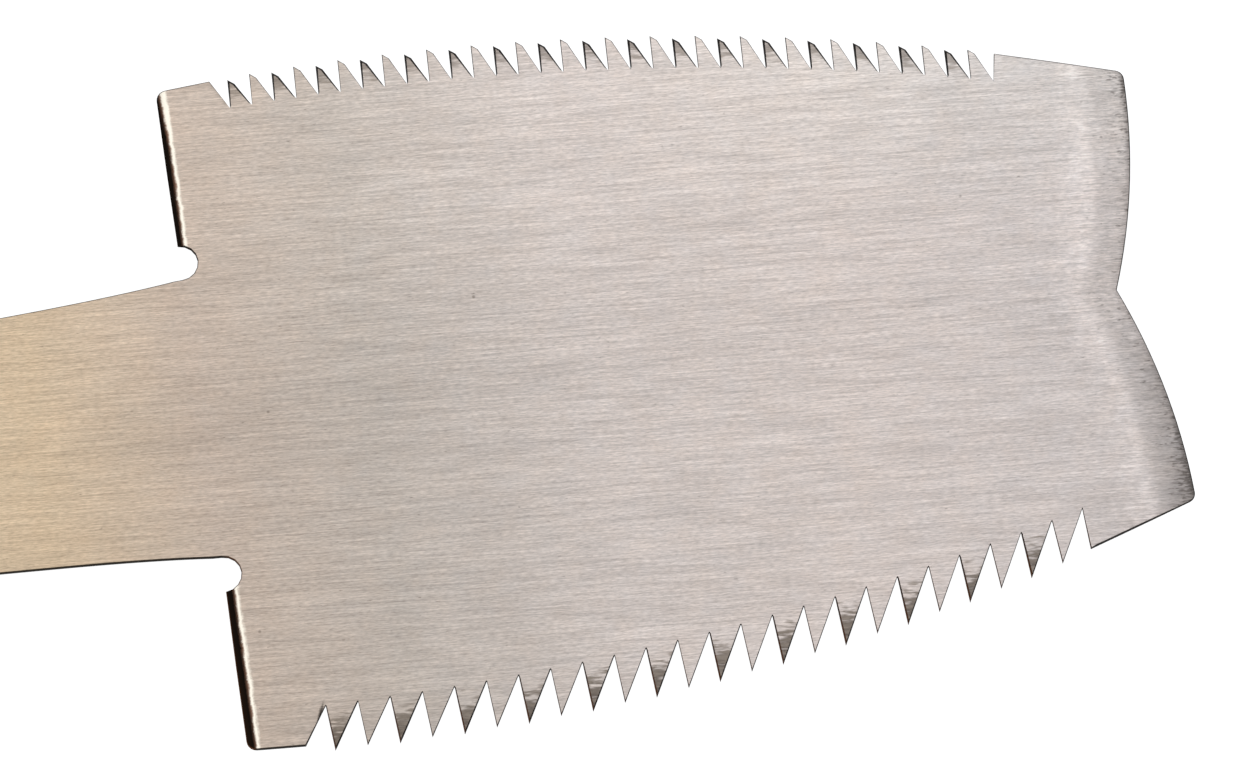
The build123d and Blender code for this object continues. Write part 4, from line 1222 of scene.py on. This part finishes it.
def light_world():
    """White behind the saw for the camera, a dim room that the metal reflects, and a soft
    fill for matt surfaces."""
    world = bpy.data.worlds.new("studio")
    bpy.context.scene.world = world
    world.use_nodes = True
    tree = world.node_tree
    tree.nodes.clear()
    height = Field(add_node(tree, "ShaderNodeTexCoord")["Generated"]).axes()[2]
    greys = ((0.0, (0.1, 0.1, 0.1, 1)), (0.16, (0.16, 0.16, 0.165, 1)),
             (0.4, (0.5, 0.5, 0.5, 1)), (1.0, (0.3, 0.3, 0.3, 1)))
    room = background(tree, height.spread(-0.2, 1.0).ramp(*greys), 1.0)
    fill = background(tree, (0.95, 0.97, 1, 1), 0.8)
    white = background(tree, (1, 1, 1, 1), 1.05)
    ray = add_node(tree, "ShaderNodeLightPath")
    lit = choose(Field(ray["Is Diffuse Ray"]), room, fill)
    seen = choose(Field(ray["Is Camera Ray"]), lit, white)
    tree.links.new(seen.socket, tree.nodes.new("ShaderNodeOutputWorld").inputs[0])


def place_floor():
    """White paper under the saw, lit nearly to white, that the metal sees as dim."""
    half = 20.0
    corners = [(-half, -half, 0), (half, -half, 0), (half, half, 0), (-half, half, 0)]
    mesh = bpy.data.meshes.new("paper_floor")
    mesh.from_pydata(corners, [], [(0, 1, 2, 3)])
    material = bpy.data.materials.new("white_paper")
    material.use_nodes = True
    tree = material.node_tree
    tree.nodes.clear()
    grain = Field(add_node(tree, "ShaderNodeTexCoord")["Object"]).noise(900.0, 3.0)
    paper = grain.mix((0.16, 0.16, 0.16, 1), (0.19, 0.19, 0.19, 1))
    matt = add_field(tree, "ShaderNodeBsdfDiffuse", {"Color": paper})
    glow = add_field(tree, "ShaderNodeEmission", {"Color": (1, 1, 1, 1), "Strength": 0.97})
    seen = add_field(tree, "ShaderNodeAddShader", {0: matt, 1: glow})
    dim = add_field(tree, "ShaderNodeBsdfDiffuse", {"Color": (0.3, 0.3, 0.3, 1)})
    surface = choose(Field(add_node(tree, "ShaderNodeLightPath")["Is Camera Ray"]), dim, seen)
    tree.links.new(surface.socket, tree.nodes.new("ShaderNodeOutputMaterial").inputs[0])
    mesh.materials.append(material)
    floor = bpy.data.objects.new("paper_floor", mesh)
    bpy.context.scene.collection.objects.link(floor)


make_blade(saw_steel())
make_cane_wrap(cane())
dress_nodes()
place_camera()
place_soft_box("overhead", (-0.08, 0.34, 1.2), (-0.08, 0.34, 0.0), 1.12, 1.5, 1.0)
place_soft_box("key", (-0.55, -1.05, 0.85), (0.0, 0.0, 0.01), 0.5, 0.5, 5.0)
light_world()
place_floor()
bpy.context.scene.view_settings.view_transform = "Standard"
